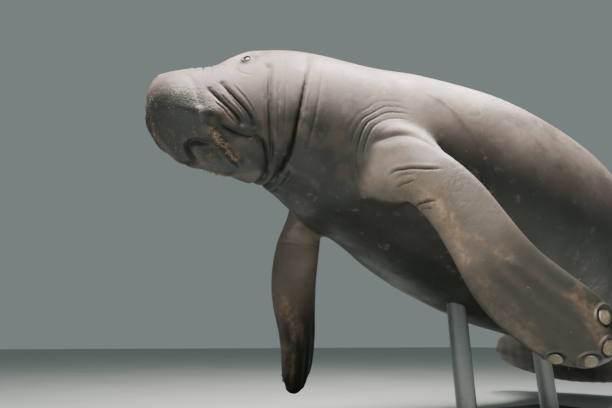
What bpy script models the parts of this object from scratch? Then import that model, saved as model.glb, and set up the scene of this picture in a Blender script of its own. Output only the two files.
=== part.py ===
"""Life-size display model of a swimming manatee on a low two-rod stand.

The animal is modelled straight, in a rest frame: snout at x = 0, tail towards +X, left side towards -Y, +Z up.
It is then cut into its named sub-parts, bent into the pose, tipped nose up and set above the stand.
Origin: centre of the underside of the stand's base. The head points to -X.
"""
import math

import bmesh
import bpy
import numpy as np
from mathutils import Matrix, Vector

# Overall sizes and the pose, in metres and degrees
GAP = 0.0003
MOUTH_GAP = 0.0005
NOSE_UP = 14.0
HEAD_PITCH = -24.0
HEAD_YAW = -5.0
TAIL_PITCH = 3.5
PADDLE_PITCH = 11.0
TAIL_YAW = 36.0
LOWEST_POINT = 0.075

# Places along the straight body where one sub-part ends and the next begins
NECK_X = 0.285
CHEST_X = 0.345
BELLY_X = 0.98
STOCK_X = 1.76
PADDLE_X = 2.36
MUZZLE_X = 0.150
CHEST_LEAN = 0.12
MUZZLE_LEAN = -0.25

# Cross-sections of the straight body: x, half width, height above and below the axis, squareness
SECTIONS = (
    (0.000, 0.066, 0.038, 0.056, 2.3),
    (0.014, 0.101, 0.055, 0.076, 2.3),
    (0.045, 0.126, 0.081, 0.110, 2.3),
    (0.100, 0.133, 0.101, 0.143, 2.3),
    (0.160, 0.131, 0.115, 0.154, 2.3),
    (0.225, 0.148, 0.150, 0.170, 2.2),
    (0.297, 0.173, 0.180, 0.192, 2.2),
    (0.387, 0.197, 0.192, 0.226, 2.2),
    (0.504, 0.235, 0.197, 0.272, 2.2),
    (0.675, 0.303, 0.242, 0.289, 2.2),
    (0.908, 0.362, 0.285, 0.350, 2.2),
    (1.238, 0.391, 0.304, 0.384, 2.2),
    (1.575, 0.369, 0.284, 0.350, 2.2),
    (1.912, 0.305, 0.240, 0.272, 2.2),
    (2.160, 0.235, 0.175, 0.186, 2.1),
    (2.329, 0.197, 0.120, 0.126, 2.0),
    (2.475, 0.225, 0.086, 0.088, 1.9),
    (2.644, 0.313, 0.060, 0.057, 1.8),
    (2.812, 0.372, 0.046, 0.044, 1.7),
    (2.981, 0.364, 0.035, 0.033, 1.7),
    (3.094, 0.262, 0.024, 0.022, 1.8),
    (3.150, 0.080, 0.011, 0.011, 1.9),
)

# Rings of the body cage, closer together on the head, at the shoulders and at the end of the tail
RING_X = (
    0.000, 0.014, 0.042, 0.072, 0.102, 0.132, 0.162, 0.192, 0.225, 0.260, 0.297, 0.340, 0.387, 0.440, 0.500,
    0.555, 0.600, 0.645, 0.690, 0.760, 0.850, 0.950, 1.060, 1.180, 1.310, 1.440, 1.570, 1.700, 1.820, 1.940,
    2.060, 2.170, 2.270, 2.350, 2.430, 2.530, 2.640, 2.750, 2.860, 2.960, 3.040, 3.100, 3.136, 3.150,
)
SHOULDER_RING = 15
UPPER_ANGLES = (0, 15, 30, 45, 60, 75, 90, 105, 120, 135, 150, 165, 180)
LOWER_ANGLES = (194, 207, 220, 233, 251, 270, 289, 307, 320, 333, 346)
RING_ANGLES = UPPER_ANGLES + LOWER_ANGLES
AROUND = len(RING_ANGLES)
BODY_SWELL = 1.0115
SNOUT_BULGE = 0.006
SNOUT_LEAN = 0.18
SNOUT_REACH = 0.09
TAIL_BULGE = 0.004

# Flippers: joint places in the rest frame, chord directions from the leading to the trailing edge
FLIPPERS = {
    "left": {
        "shoulder": (0.620, -0.250, -0.140),
        "elbow": (0.704, -0.356, -0.261),
        "wrist": (0.809, -0.453, -0.447),
        "tip": (0.914, -0.563, -0.553),
        "root_chord": (-0.25, -0.33, 0.91),
        "hand_chord": (0.26, -0.67, 0.70),
        "first_corner": -45,
        "columns": (13, 14, 15, 16),
        "palm_side": -1,
        "half_chords": (0.078, 0.071, 0.072, 0.073, 0.078, 0.084, 0.081, 0.068, 0.045, 0.026),
    },
    "right": {
        "shoulder": (0.598, 0.246, -0.162),
        "elbow": (0.631, 0.285, -0.345),
        "wrist": (0.732, 0.339, -0.562),
        "tip": (0.795, 0.390, -0.724),
        "root_chord": (0.93, -0.33, -0.12),
        "hand_chord": (0.78, 0.43, 0.45),
        "first_corner": -135,
        "columns": (23, 22, 21, 20),
        "palm_side": 1,
        "half_chords": (0.080, 0.080, 0.085, 0.086, 0.086, 0.087, 0.082, 0.067, 0.045, 0.026),
    },
}
# Stations along a flipper from shoulder to tip, where its half chords are given, and the half thickness at each
FLIPPER_STATIONS = (0.00, 0.15, 0.30, 0.45, 0.60, 0.74, 0.85, 0.93, 0.98, 1.00)
FLIPPER_HALF_THICK = (0.066, 0.052, 0.043, 0.036, 0.030, 0.026, 0.022, 0.018, 0.013, 0.009)
FLIPPER_RINGS = (0.16, 0.25, 0.36, 0.47, 0.58, 0.69, 0.79, 0.87, 0.93, 0.97, 0.995)
FLIPPER_AROUND = 12
FLIPPER_SWELL = 1.045
FLIPPER_CUT = 0.27
FLIPPER_CUT_RADIUS = 0.108
CAP_SIDES = 12

# Folds and swellings of the head: (x, degrees above the side line) along each, mirrored left and right
MOUTH_LINE = ((0.118, -90), (0.088, -78), (0.068, -66), (0.076, -57), (0.100, -51), (0.140, -50), (0.185, -44),
              (0.238, -40))
LIP_RIDGE = ((0.113, -37), (0.140, -44), (0.156, -51), (0.187, -64), (0.205, -69))
LIP_EDGE = ((0.035, -28), (0.066, -27), (0.110, -27), (0.138, -25))
# Creases of the head: line, depth and spread
HEAD_CREASES = (
    (((0.084, 22), (0.094, 4), (0.097, -8), (0.101, -18)), 0.003, 0.009),
    (((0.164, 7), (0.191, -9), (0.215, -21), (0.232, -33)), 0.005, 0.008),
    (((0.130, -3), (0.158, -12), (0.187, -24), (0.200, -31)), 0.005, 0.008),
    (((0.279, 19), (0.269, -11), (0.276, -41), (0.293, -71), (0.296, -90)), 0.006, 0.010),
    (((0.370, 34), (0.352, -5), (0.338, -37), (0.327, -61), (0.325, -90)), 0.009, 0.013),
    (((0.243, -40), (0.258, -46), (0.269, -53), (0.283, -67), (0.293, -89)), 0.005, 0.010),
)
EYE_X = 0.238
EYE_ANGLE = 35.2
EYE_RADIUS = 0.0125
EYE_SINK = 0.0105
LID_RING = 0.0098
LID_RADIUS = 0.0040
NOSTRIL_X = 0.036
NOSTRIL_ANGLE = 62.0
NOSTRIL_RADIUS = 0.011
NOSTRIL_SLIT = 0.0032
HEAD_RADIUS = 0.13
NAIL_LENGTH = 0.019
NAIL_WIDTH = 0.031
NAIL_THICKNESS = 0.009
NAIL_SIDES = 11
NAIL_RINGS = 6
NAIL_PLACES = ((0.900, -0.90), (0.970, -0.64), (0.985, 0.22), (0.930, 0.72))

# Stand
BASE_LENGTH = 1.50
BASE_WIDTH = 0.84
BASE_THICKNESS = 0.030
BASE_CORNER = 0.08
BASE_BEVEL = 0.004
ROD_RADIUS = 0.030
ROD_INSET = 0.045
FRONT_ROD_X = 1.10
REAR_ROD_X = 1.62


def smooth(low, high, value):
    """Smooth step from 0 at low to 1 at high."""
    t = np.clip((value - low) / (high - low), 0.0, 1.0)
    return t * t * (3.0 - 2.0 * t)


def smooth_curve(xs, ys, at):
    """Cubic through the points that never overshoots them."""
    xs = np.asarray(xs, float)
    ys = np.asarray(ys, float)
    at = np.clip(at, xs[0], xs[-1])
    step = np.diff(xs)
    slope = np.diff(ys) / step
    tangent = np.zeros_like(ys)
    same = slope[1:] * slope[:-1] > 0
    weight_a = 2 * step[1:] + step[:-1]
    weight_b = step[1:] + 2 * step[:-1]
    mean = (weight_a + weight_b) / (weight_a / np.where(same, slope[:-1], 1) + weight_b / np.where(same, slope[1:], 1))
    tangent[1:-1] = np.where(same, mean, 0.0)
    tangent[0] = slope[0]
    tangent[-1] = slope[-1]
    k = np.clip(np.searchsorted(xs, at, side="right") - 1, 0, len(xs) - 2)
    t = (at - xs[k]) / step[k]
    rise = ys[k] * (1 + 2 * t) * (1 - t) ** 2 + ys[k + 1] * t * t * (3 - 2 * t)
    bend = step[k] * (tangent[k] * t * (1 - t) ** 2 - tangent[k + 1] * t * t * (1 - t))
    return rise + bend


SECTION_TABLE = np.array(SECTIONS)


def section(x):
    """Half width, height above, height below and squareness of the straight body at x."""
    return [smooth_curve(SECTION_TABLE[:, 0], SECTION_TABLE[:, k], x) for k in range(1, 5)]


def on_body(x, degrees):
    """Point of the straight body at x and at an angle counted from the right side line over the back."""
    width, top, bottom, square = section(x)
    angle = np.radians(degrees)
    c = np.cos(angle)
    s = np.sin(angle)
    reach = (np.abs(c) ** square + np.abs(s) ** square) ** (-1.0 / square)
    height = np.where(s > 0, top, bottom)
    return np.stack([x + 0 * c, width * reach * c, height * reach * s], -1)


def on_left(x, degrees_up):
    """Point of the straight body on the left side, at an angle above the side line."""
    return on_body(np.asarray(x, float), 180.0 - np.asarray(degrees_up, float))


# The coarse cage


def patch_inside(loop, bulge):
    """Grid of points inside a closed loop of 4n points whose corners are points 0, n, 2n and 3n."""
    n = len(loop) // 4
    side_a = loop[0:n + 1]
    side_b = loop[n:2 * n + 1]
    side_c = loop[2 * n:3 * n + 1][::-1]
    side_d = np.vstack([loop[3 * n:], loop[:1]])[::-1]
    grid = np.zeros((n + 1, n + 1, 3))
    for i in range(n + 1):
        for j in range(n + 1):
            u = i / n
            v = j / n
            across = (1 - v) * side_a[i] + v * side_c[i] + (1 - u) * side_d[j] + u * side_b[j]
            corners = (1 - u) * (1 - v) * loop[0] + u * (1 - v) * loop[n] + u * v * loop[2 * n]
            corners = corners + (1 - u) * v * loop[3 * n]
            swell = 16 * u * (1 - u) * v * (1 - v)
            grid[i, j] = across - corners + swell * bulge
    return grid


def close_loop(verts, faces, loop_ids, bulge):
    """Closes a loop of 4n cage points with an n by n patch of quads."""
    n = len(loop_ids) // 4
    loop = np.array([verts[k] for k in loop_ids])
    grid = patch_inside(loop, np.array(bulge))
    ids = {}
    for i in range(n + 1):
        ids[i, 0] = loop_ids[i]
        ids[n, i] = loop_ids[n + i]
        ids[n - i, n] = loop_ids[2 * n + i]
        ids[0, n - i] = loop_ids[(3 * n + i) % (4 * n)]
    for i in range(1, n):
        for j in range(1, n):
            ids[i, j] = len(verts)
            verts.append(grid[i, j])
    for i in range(n):
        for j in range(n):
            faces.append((ids[i, j], ids[i + 1, j], ids[i + 1, j + 1], ids[i, j + 1]))


def unit(vector):
    vector = np.asarray(vector, float)
    return vector / np.linalg.norm(vector)


def flipper_frame(flipper, t):
    """Centre, direction, chord and palm directions of a flipper at a station from 0 to 1."""
    joints = np.array([flipper[name] for name in ("shoulder", "elbow", "wrist", "tip")])
    lengths = np.linalg.norm(np.diff(joints, axis=0), axis=1)
    marks = np.concatenate([[0.0], np.cumsum(lengths)]) / lengths.sum()

    def centre(at):
        return np.array([smooth_curve(marks, joints[:, k], np.array(at)) for k in range(3)])

    along = unit(centre(min(t + 0.04, 1.0)) - centre(max(t - 0.04, 0.0)))
    mix = float(smooth(0.1, 0.8, t))
    chord = (1 - mix) * unit(flipper["root_chord"]) + mix * unit(flipper["hand_chord"])
    chord = unit(chord - along * chord.dot(along))
    palm = np.cross(along, chord) * flipper["palm_side"]
    return centre(t), along, chord, palm


def flipper_halves(flipper, t):
    """Half chord and half thickness of a flipper at a station."""
    stations = np.array(FLIPPER_STATIONS)
    return [float(smooth_curve(stations, np.array(half), np.array(t)))
            for half in (flipper["half_chords"], FLIPPER_HALF_THICK)]


def flipper_ring(flipper, t):
    """The ring of cage points round a flipper at a station."""
    centre, along, chord, palm = flipper_frame(flipper, t)
    half_chord, half_thick = flipper_halves(flipper, t)
    half_chord *= FLIPPER_SWELL
    half_thick *= FLIPPER_SWELL
    points = []
    for k in range(FLIPPER_AROUND):
        angle = math.radians(flipper["first_corner"] + k * 360.0 / FLIPPER_AROUND)
        points.append(centre + chord * half_chord * math.cos(angle) + palm * half_thick * math.sin(angle))
    return points


def add_flipper(verts, faces, flipper):
    """Grows a flipper out of the hole left for it in the body cage."""
    first = SHOULDER_RING
    last = SHOULDER_RING + 3
    top, second, third, bottom = flipper["columns"]
    hole = [(ring, top) for ring in range(first, last)]
    hole += [(last, column) for column in (top, second, third)]
    hole += [(ring, bottom) for ring in range(last, first, -1)]
    hole += [(first, column) for column in (bottom, third, second)]
    below = [ring * AROUND + column for ring, column in hole]
    for t in FLIPPER_RINGS:
        here = list(range(len(verts), len(verts) + FLIPPER_AROUND))
        verts.extend(flipper_ring(flipper, t))
        for k in range(FLIPPER_AROUND):
            nxt = (k + 1) % FLIPPER_AROUND
            faces.append((below[k], below[nxt], here[nxt], here[k]))
        below = here
    tip_reach = flipper_frame(flipper, 1.0)[1] * 0.012
    close_loop(verts, faces, below, tip_reach)


def animal_cage():
    """Vertices and quads of the whole straight animal."""
    verts = []
    faces = []
    for x in RING_X:
        for degrees in RING_ANGLES:
            point = on_body(np.array(x), np.array(float(degrees)))
            verts.append(point * (1.0, BODY_SWELL, BODY_SWELL))
    holes = set()
    for flipper in FLIPPERS.values():
        low = min(flipper["columns"])
        holes |= {(ring, low + k) for ring in range(SHOULDER_RING, SHOULDER_RING + 3) for k in range(3)}
    for ring in range(len(RING_X) - 1):
        for column in range(AROUND):
            if (ring, column) in holes:
                continue
            nxt = (column + 1) % AROUND
            a = ring * AROUND
            b = a + AROUND
            faces.append((a + column, a + nxt, b + nxt, b + column))
    corner = AROUND // 8
    front = [(corner + k) % AROUND for k in range(AROUND)]
    close_loop(verts, faces, front, (-SNOUT_BULGE, 0, 0))
    back = [(len(RING_X) - 1) * AROUND + k for k in front]
    close_loop(verts, faces, back, (TAIL_BULGE, 0, 0))
    for flipper in FLIPPERS.values():
        add_flipper(verts, faces, flipper)
    return np.array(verts), faces


# Shaping of the surface in the rest frame


def round_angle(points):
    """Degrees above the side line, the same on the left and the right side."""
    width, top, bottom, _ = section(points[:, 0])
    height = np.where(points[:, 2] > 0, top, bottom)
    return np.degrees(np.arctan2(points[:, 2] / height, np.abs(points[:, 1]) / width))


def near_line(points, degrees, line, spread):
    """1 on a line drawn on the head and 0 far from it."""
    here = np.stack([points[:, 0], np.radians(degrees) * HEAD_RADIUS], -1)
    route = np.array([(x, math.radians(a) * HEAD_RADIUS) for x, a in line])
    best = np.full(len(points), 9.0)
    for start, end in zip(route[:-1], route[1:]):
        run = end - start
        t = np.clip(((here - start) @ run) / run.dot(run), 0, 1)
        gap = np.linalg.norm(here - start - t[:, None] * run, axis=1)
        best = np.minimum(best, gap)
    return np.exp(-(best / spread) ** 2)


def head_forms(points):
    """How far each point of the head moves outwards."""
    degrees = round_angle(points)
    move = np.zeros(len(points))
    # Swollen lip pads with the edge where they turn under, cheeks and the lobe of the lower jaw
    move += 0.008 * near_line(points, degrees, ((0.060, -12), (0.110, -22)), 0.040)
    move += 0.008 * near_line(points, degrees, LIP_EDGE, 0.019)
    move += 0.005 * near_line(points, degrees, ((0.000, -12), (0.025, -20)), 0.034)
    move += 0.010 * near_line(points, degrees, ((0.232, -56), (0.262, -68)), 0.030)
    move += 0.005 * near_line(points, degrees, LIP_RIDGE, 0.010)
    # Brow and the mound that carries the eye
    move += 0.006 * near_line(points, degrees, ((0.205, 47), (0.250, 53)), 0.026)
    move += 0.003 * near_line(points, degrees, ((EYE_X, EYE_ANGLE), (EYE_X + 0.001, EYE_ANGLE)), 0.024)
    # Raised cushions that carry the nostrils, and the dip behind them
    move += 0.006 * near_line(points, degrees, ((0.030, 62), (0.060, 66)), 0.022)
    move -= 0.005 * near_line(points, degrees, ((0.128, 70), (0.135, 90)), 0.026)
    # Creases behind the lip pad, on the cheek and on the neck
    for line, depth, spread in HEAD_CREASES:
        move -= depth * near_line(points, degrees, line, spread)
    # Groove down the middle of the snout
    groove = np.exp(-(points[:, 1] / 0.010) ** 2) * (1 - smooth(0.02, 0.07, points[:, 0]))
    move -= 0.007 * groove * smooth(-0.10, -0.04, points[:, 2])
    return move


def shape_surface(points, normals):
    """The straight animal with its swellings and folds."""
    near_head = points[:, 0] < 0.46
    moved = points.copy()
    moved[near_head] += normals[near_head] * head_forms(points[near_head])[:, None]
    return moved


# The pose


def spine(x):
    """Place of the body's axis and its pitch and yaw, at distances along the straight body."""
    fine = np.arange(0.0, 3.30, 0.005)
    head = 1 - smooth(0.18, 0.63, fine)
    pitch = HEAD_PITCH * head + TAIL_PITCH * smooth(0.81, 2.14, fine) + PADDLE_PITCH * smooth(1.91, 2.70, fine)
    yaw = HEAD_YAW * head + TAIL_YAW * smooth(0.81, 2.48, fine)
    pitch = np.radians(pitch)
    yaw = np.radians(yaw)
    step = np.stack([np.cos(pitch) * np.cos(yaw), np.cos(pitch) * np.sin(yaw), -np.sin(pitch)], -1)
    path = np.concatenate([np.zeros((1, 3)), np.cumsum((step[1:] + step[:-1]) / 2 * 0.005, axis=0)])
    still = np.searchsorted(fine, 0.72)
    path = path - path[still] + np.array([fine[still], 0.0, 0.0])
    place = np.stack([np.interp(x, fine, path[:, k]) for k in range(3)], -1)
    over = np.minimum(x, 0.0)
    return place, np.interp(x, fine, pitch), np.interp(x, fine, yaw), over


def bend(points):
    """Rest frame to the swimming pose, with the upper front of the snout ahead of the lower."""
    lean = SNOUT_LEAN * (1 - smooth(0.0, SNOUT_REACH, points[:, 0]))
    place, pitch, yaw, over = spine(points[:, 0] - lean * points[:, 2])
    along = np.stack([np.cos(pitch) * np.cos(yaw), np.cos(pitch) * np.sin(yaw), -np.sin(pitch)], -1)
    side = np.stack([-np.sin(yaw), np.cos(yaw), np.zeros_like(yaw)], -1)
    up = np.cross(along, side)
    return place + along * over[:, None] + side * points[:, 1:2] + up * points[:, 2:3]


def tip_up(points):
    """Turns the posed animal nose up about the y axis."""
    angle = math.radians(NOSE_UP)
    c = math.cos(angle)
    s = math.sin(angle)
    x = points[:, 0] * c + points[:, 2] * s
    z = points[:, 2] * c - points[:, 0] * s
    return np.stack([x, points[:, 1], z], -1)


# Blender helpers


def clear_scene():
    for item in list(bpy.data.objects):
        bpy.data.objects.remove(item)


def collection(name):
    made = bpy.data.collections.new(name)
    bpy.context.scene.collection.children.link(made)
    return made


def new_object(name, mesh, group):
    item = bpy.data.objects.new(name, mesh)
    group.objects.link(item)
    return item


def mesh_from(verts, faces, name):
    mesh = bpy.data.meshes.new(name)
    mesh.from_pydata([tuple(v) for v in verts], [], faces)
    bm = bmesh.new()
    bm.from_mesh(mesh)
    bmesh.ops.recalc_face_normals(bm, faces=bm.faces)
    bm.to_mesh(mesh)
    bm.free()
    return mesh


def evaluated_mesh(item):
    """The object's mesh after its modifiers, as a mesh of its own."""
    bpy.context.view_layer.update()
    graph = bpy.context.evaluated_depsgraph_get()
    return bpy.data.meshes.new_from_object(item.evaluated_get(graph))


def points_of(mesh):
    values = np.zeros(len(mesh.vertices) * 3)
    mesh.vertices.foreach_get("co", values)
    return values.reshape(-1, 3)


def normals_of(mesh):
    values = np.zeros(len(mesh.vertices) * 3)
    mesh.vertex_normals.foreach_get("vector", values)
    return values.reshape(-1, 3)


def set_points(mesh, points):
    mesh.vertices.foreach_set("co", points.ravel())
    mesh.update()


def material(name, colour, roughness, metallic=0.0):
    made = bpy.data.materials.new(name)
    made.use_nodes = True
    shader = made.node_tree.nodes["Principled BSDF"]
    shader.inputs["Base Color"].default_value = (*colour, 1.0)
    shader.inputs["Roughness"].default_value = roughness
    shader.inputs["Metallic"].default_value = metallic
    made.diffuse_color = (*colour, 1.0)
    return made


def boolean(item, cutter, how):
    """Applies one Boolean of a closed cutter to an object, then removes the cutter."""
    change = item.modifiers.new("cut", "BOOLEAN")
    change.operation = how
    change.object = cutter
    cutter.hide_render = True
    cutter.display_type = "WIRE"
    made = evaluated_mesh(item)
    item.modifiers.clear()
    item.data = made
    bpy.data.objects.remove(cutter)


def islands(bm):
    """Lists of faces that hang together."""
    left = set(bm.faces)
    found = []
    while left:
        start = left.pop()
        group = [start]
        wait = [start]
        while wait:
            face = wait.pop()
            for edge in face.edges:
                for other in edge.link_faces:
                    if other in left:
                        left.remove(other)
                        group.append(other)
                        wait.append(other)
        found.append(group)
    return sorted(found, key=len, reverse=True)


def split_islands(mesh, count):
    """The largest closed surfaces of a mesh as meshes of their own, biggest first."""
    bm = bmesh.new()
    bm.from_mesh(mesh)
    sizes = [set(face.index for face in group) for group in islands(bm)[:count]]
    bm.free()
    made = []
    for keep in sizes:
        bm = bmesh.new()
        bm.from_mesh(mesh)
        bm.faces.ensure_lookup_table()
        drop = [face for face in bm.faces if face.index not in keep]
        bmesh.ops.delete(bm, geom=drop, context="FACES")
        piece = bpy.data.meshes.new("piece")
        bm.to_mesh(piece)
        bm.free()
        made.append(piece)
    return made


def keep_largest(item):
    item.data = split_islands(item.data, 1)[0]


def fan_caps(mesh):
    """Divides each many-sided cut face into a fan, so that facing cuts stay apart when bent."""
    bm = bmesh.new()
    bm.from_mesh(mesh)
    bmesh.ops.poke(bm, faces=[face for face in bm.faces if len(face.verts) > CAP_SIDES])
    bm.to_mesh(mesh)
    bm.free()


def cut_off(bm, place, normal):
    """Cuts away what lies on the normal's side of a plane and caps the cut."""
    geometry = bm.verts[:] + bm.edges[:] + bm.faces[:]
    bmesh.ops.bisect_plane(bm, geom=geometry, dist=1e-6, plane_co=place, plane_no=normal, clear_outer=True)
    rim = [edge for edge in bm.edges if edge.is_boundary]
    caps = bmesh.ops.holes_fill(bm, edges=rim, sides=0)["faces"]
    bmesh.ops.poke(bm, faces=caps)


def slice_of(mesh, start, end):
    """The part of a mesh between two leaning cross-planes, each given as (x, lean) or None."""
    bm = bmesh.new()
    bm.from_mesh(mesh)
    if start:
        normal = Vector((-1.0, 0.0, start[1])).normalized()
        cut_off(bm, Vector((start[0], 0, 0)) - normal * GAP / 2, normal)
    if end:
        normal = Vector((1.0, 0.0, -end[1])).normalized()
        cut_off(bm, Vector((end[0], 0, 0)) - normal * GAP / 2, normal)
    bmesh.ops.recalc_face_normals(bm, faces=bm.faces)
    made = bpy.data.meshes.new("slice")
    bm.to_mesh(made)
    bm.free()
    return made


def primitive(name, group, make):
    """Object made by a bmesh primitive."""
    mesh = bpy.data.meshes.new(name)
    bm = bmesh.new()
    make(bm)
    bm.to_mesh(mesh)
    bm.free()
    return new_object(name, mesh, group)


def ball(name, group, radius, segments=18, rings=10):
    return primitive(name, group, lambda bm: bmesh.ops.create_uvsphere(
        bm, u_segments=segments, v_segments=rings, radius=radius))


def rod(name, group, radius, length, segments=32):
    return primitive(name, group, lambda bm: bmesh.ops.create_cone(
        bm, cap_ends=True, segments=segments, radius1=radius, radius2=radius, depth=length))


def tube(name, group, points, radii, sides=4):
    """Closed tube through points, with its own radius at each."""
    curve = bpy.data.curves.new(name, "CURVE")
    curve.dimensions = "3D"
    curve.bevel_depth = 1.0
    curve.bevel_resolution = sides
    curve.use_fill_caps = True
    line = curve.splines.new("POLY")
    line.points.add(len(points) - 1)
    for point, place, radius in zip(line.points, points, radii):
        point.co = (*place, 1.0)
        point.radius = radius
    item = new_object(name, curve, group)
    mesh = evaluated_mesh(item)
    bpy.data.objects.remove(item)
    bm = bmesh.new()
    bm.from_mesh(mesh)
    bmesh.ops.remove_doubles(bm, verts=bm.verts, dist=1e-6)
    bmesh.ops.recalc_face_normals(bm, faces=bm.faces)
    bm.to_mesh(mesh)
    bm.free()
    return new_object(name, mesh, group)


def set_matrix(item, place, axis_x, axis_y, axis_z):
    """Bakes a placement, given by a point and three directions, into an object's mesh."""
    turn = Matrix((axis_x, axis_y, axis_z)).transposed().to_4x4()
    item.data.transform(Matrix.Translation(place) @ turn)


# The animal's surface and its cuts


def smooth_skin(group):
    """The whole straight animal as one closed, shaped mesh."""
    verts, faces = animal_cage()
    item = new_object("skin", mesh_from(verts, faces, "skin"), group)
    rounding = item.modifiers.new("rounding", "SUBSURF")
    rounding.levels = 1
    rounding.render_levels = 1
    mesh = evaluated_mesh(item)
    bpy.data.objects.remove(item)
    set_points(mesh, shape_surface(points_of(mesh), normals_of(mesh)))
    return mesh


def mouth_slab(group):
    """Thin wall along the closed mouth, which frees the lower jaw from the head."""
    reach = 0.20
    columns = 12
    rows = []
    for k in range(-columns, columns + 1):
        y = reach * k / columns
        front = 0.070 + 0.040 * math.exp(-(y / 0.030) ** 2)
        row = [(front, y, -0.30), (front, y, -0.150), (front + 0.012, y, -0.137)]
        row += [(x, y, -0.127 + (x - 0.19) * 0.17) for x in (0.190, 0.212, 0.234, 0.256, 0.278, 0.320)]
        rows.append(row)
    verts = [point for row in rows for point in row]
    deep = len(rows[0])
    faces = []
    for k in range(len(rows) - 1):
        for j in range(deep - 1):
            a = k * deep + j
            faces.append((a, a + 1, a + deep + 1, a + deep))
    slab = new_object("mouth_slab", mesh_from(verts, faces, "mouth_slab"), group)
    triangles = slab.modifiers.new("triangles", "TRIANGULATE")
    triangles.quad_method = "FIXED"
    wall = slab.modifiers.new("wall", "SOLIDIFY")
    wall.thickness = MOUTH_GAP
    wall.offset = 0.0
    wall.use_even_offset = True
    slab.data = evaluated_mesh(slab)
    slab.modifiers.clear()
    return slab


def mouth_groove(group):
    """Tube that opens the line of the mouth, widest at the front."""
    xs = np.array([x for x, _ in MOUTH_LINE])
    degrees = np.array([a for _, a in MOUTH_LINE], float)
    left = on_left(xs, degrees)
    right = left * (1, -1, 1)
    points = np.concatenate([left[::-1], right[1:]])
    radii = np.array([0.003, 0.004, 0.005, 0.006, 0.008, 0.009, 0.009, 0.008])
    radii = np.concatenate([radii, radii[::-1][1:]])
    return tube("mouth_groove", group, points, radii, sides=1)


def outward(x, degrees_up):
    """Point, outward direction and two surface directions on the shaped left side of the head."""
    step = 0.004

    def shaped(at_x, at_angle):
        bare = on_left(np.array([at_x]), np.array([at_angle]))
        ahead = on_left(np.array([at_x + 0.001]), np.array([at_angle]))[0] - bare[0]
        above = on_left(np.array([at_x]), np.array([at_angle + 0.5]))[0] - bare[0]
        normal = unit(np.cross(ahead, above))
        return bare[0] + normal * head_forms(bare)[0]

    place = shaped(x, degrees_up)
    back = unit(shaped(x + step, degrees_up) - shaped(x - step, degrees_up))
    upper = shaped(x, degrees_up + 2.0) - shaped(x, degrees_up - 2.0)
    normal = unit(np.cross(back, upper))
    return place, normal, back, np.cross(normal, back)


def mirrored(vector, side):
    return np.asarray(vector) * (1, side, 1)


def cut_eye(head, group, parts, side, name, look):
    """Lid ring, socket and eyeball on one side of the head."""
    place, normal, back, upper = [mirrored(v, side) for v in outward(EYE_X, EYE_ANGLE)]
    turns = np.linspace(0, 2 * math.pi, 16, endpoint=False)
    lid_path = [place + LID_RING * (back * math.cos(a) * 1.15 + upper * math.sin(a)) for a in turns]
    boolean(head, closed_ring("lid", group, lid_path, LID_RADIUS), "UNION")
    centre = Vector(place - normal * EYE_SINK)
    socket = ball("socket", group, EYE_RADIUS + GAP)
    socket.data.transform(Matrix.Translation(centre))
    boolean(head, socket, "DIFFERENCE")
    keep_largest(head)
    eye = ball(name, parts, EYE_RADIUS)
    eye.data.transform(Matrix.Translation(centre))
    eye.data.materials.append(look)
    return eye


def closed_ring(name, group, path, radius, sides=6):
    """Ring of round section through a closed path."""
    count = len(path)
    centre = np.mean(path, axis=0)
    verts = []
    for k in range(count):
        out = unit(path[k] - centre)
        along = unit(path[(k + 1) % count] - path[k - 1])
        up = unit(np.cross(along, out))
        for j in range(sides):
            a = 2 * math.pi * j / sides
            verts.append(path[k] + radius * (out * math.cos(a) + up * math.sin(a)))
    faces = []
    for k in range(count):
        for j in range(sides):
            n = ((k + 1) % count) * sides
            m = (j + 1) % sides
            faces.append((k * sides + j, k * sides + m, n + m, n + j))
    return new_object(name, mesh_from(verts, faces, name), group)


def cut_nostril(muzzle, group, side):
    """Crescent slit of one closed nostril valve."""
    place, normal, back, upper = [mirrored(v, side) for v in outward(NOSTRIL_X, NOSTRIL_ANGLE)]
    turns = np.radians(np.linspace(-105, 105, 11))
    points = [place + NOSTRIL_RADIUS * (-back * math.cos(a) + upper * math.sin(a)) for a in turns]
    radii = NOSTRIL_SLIT * (0.45 + 0.55 * np.cos(turns * 0.8))
    boolean(muzzle, tube("nostril", group, points, radii, sides=1), "DIFFERENCE")


def nail_shape(name, group, flipper, station, across, grow):
    """Flattened nail set in the back of a flipper near its rim."""
    centre, along, chord, palm = flipper_frame(flipper, station)
    half_chord, half_thick = flipper_halves(flipper, station)
    rise = math.sqrt(1 - across * across)
    place = centre + chord * half_chord * across - palm * half_thick * rise
    outwards = unit(chord * across * 0.7 - palm * 0.8)
    forward = unit(along + chord * across * 0.9)
    forward = unit(forward - outwards * forward.dot(outwards))
    item = ball(name, group, 1.0, NAIL_SIDES, NAIL_RINGS)
    size = [s / 2 + grow for s in (NAIL_LENGTH, NAIL_WIDTH, NAIL_THICKNESS)]
    item.data.transform(Matrix.Diagonal((*size, 1.0)))
    set_matrix(item, Vector(place), forward, np.cross(outwards, forward), outwards)
    return item


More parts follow.
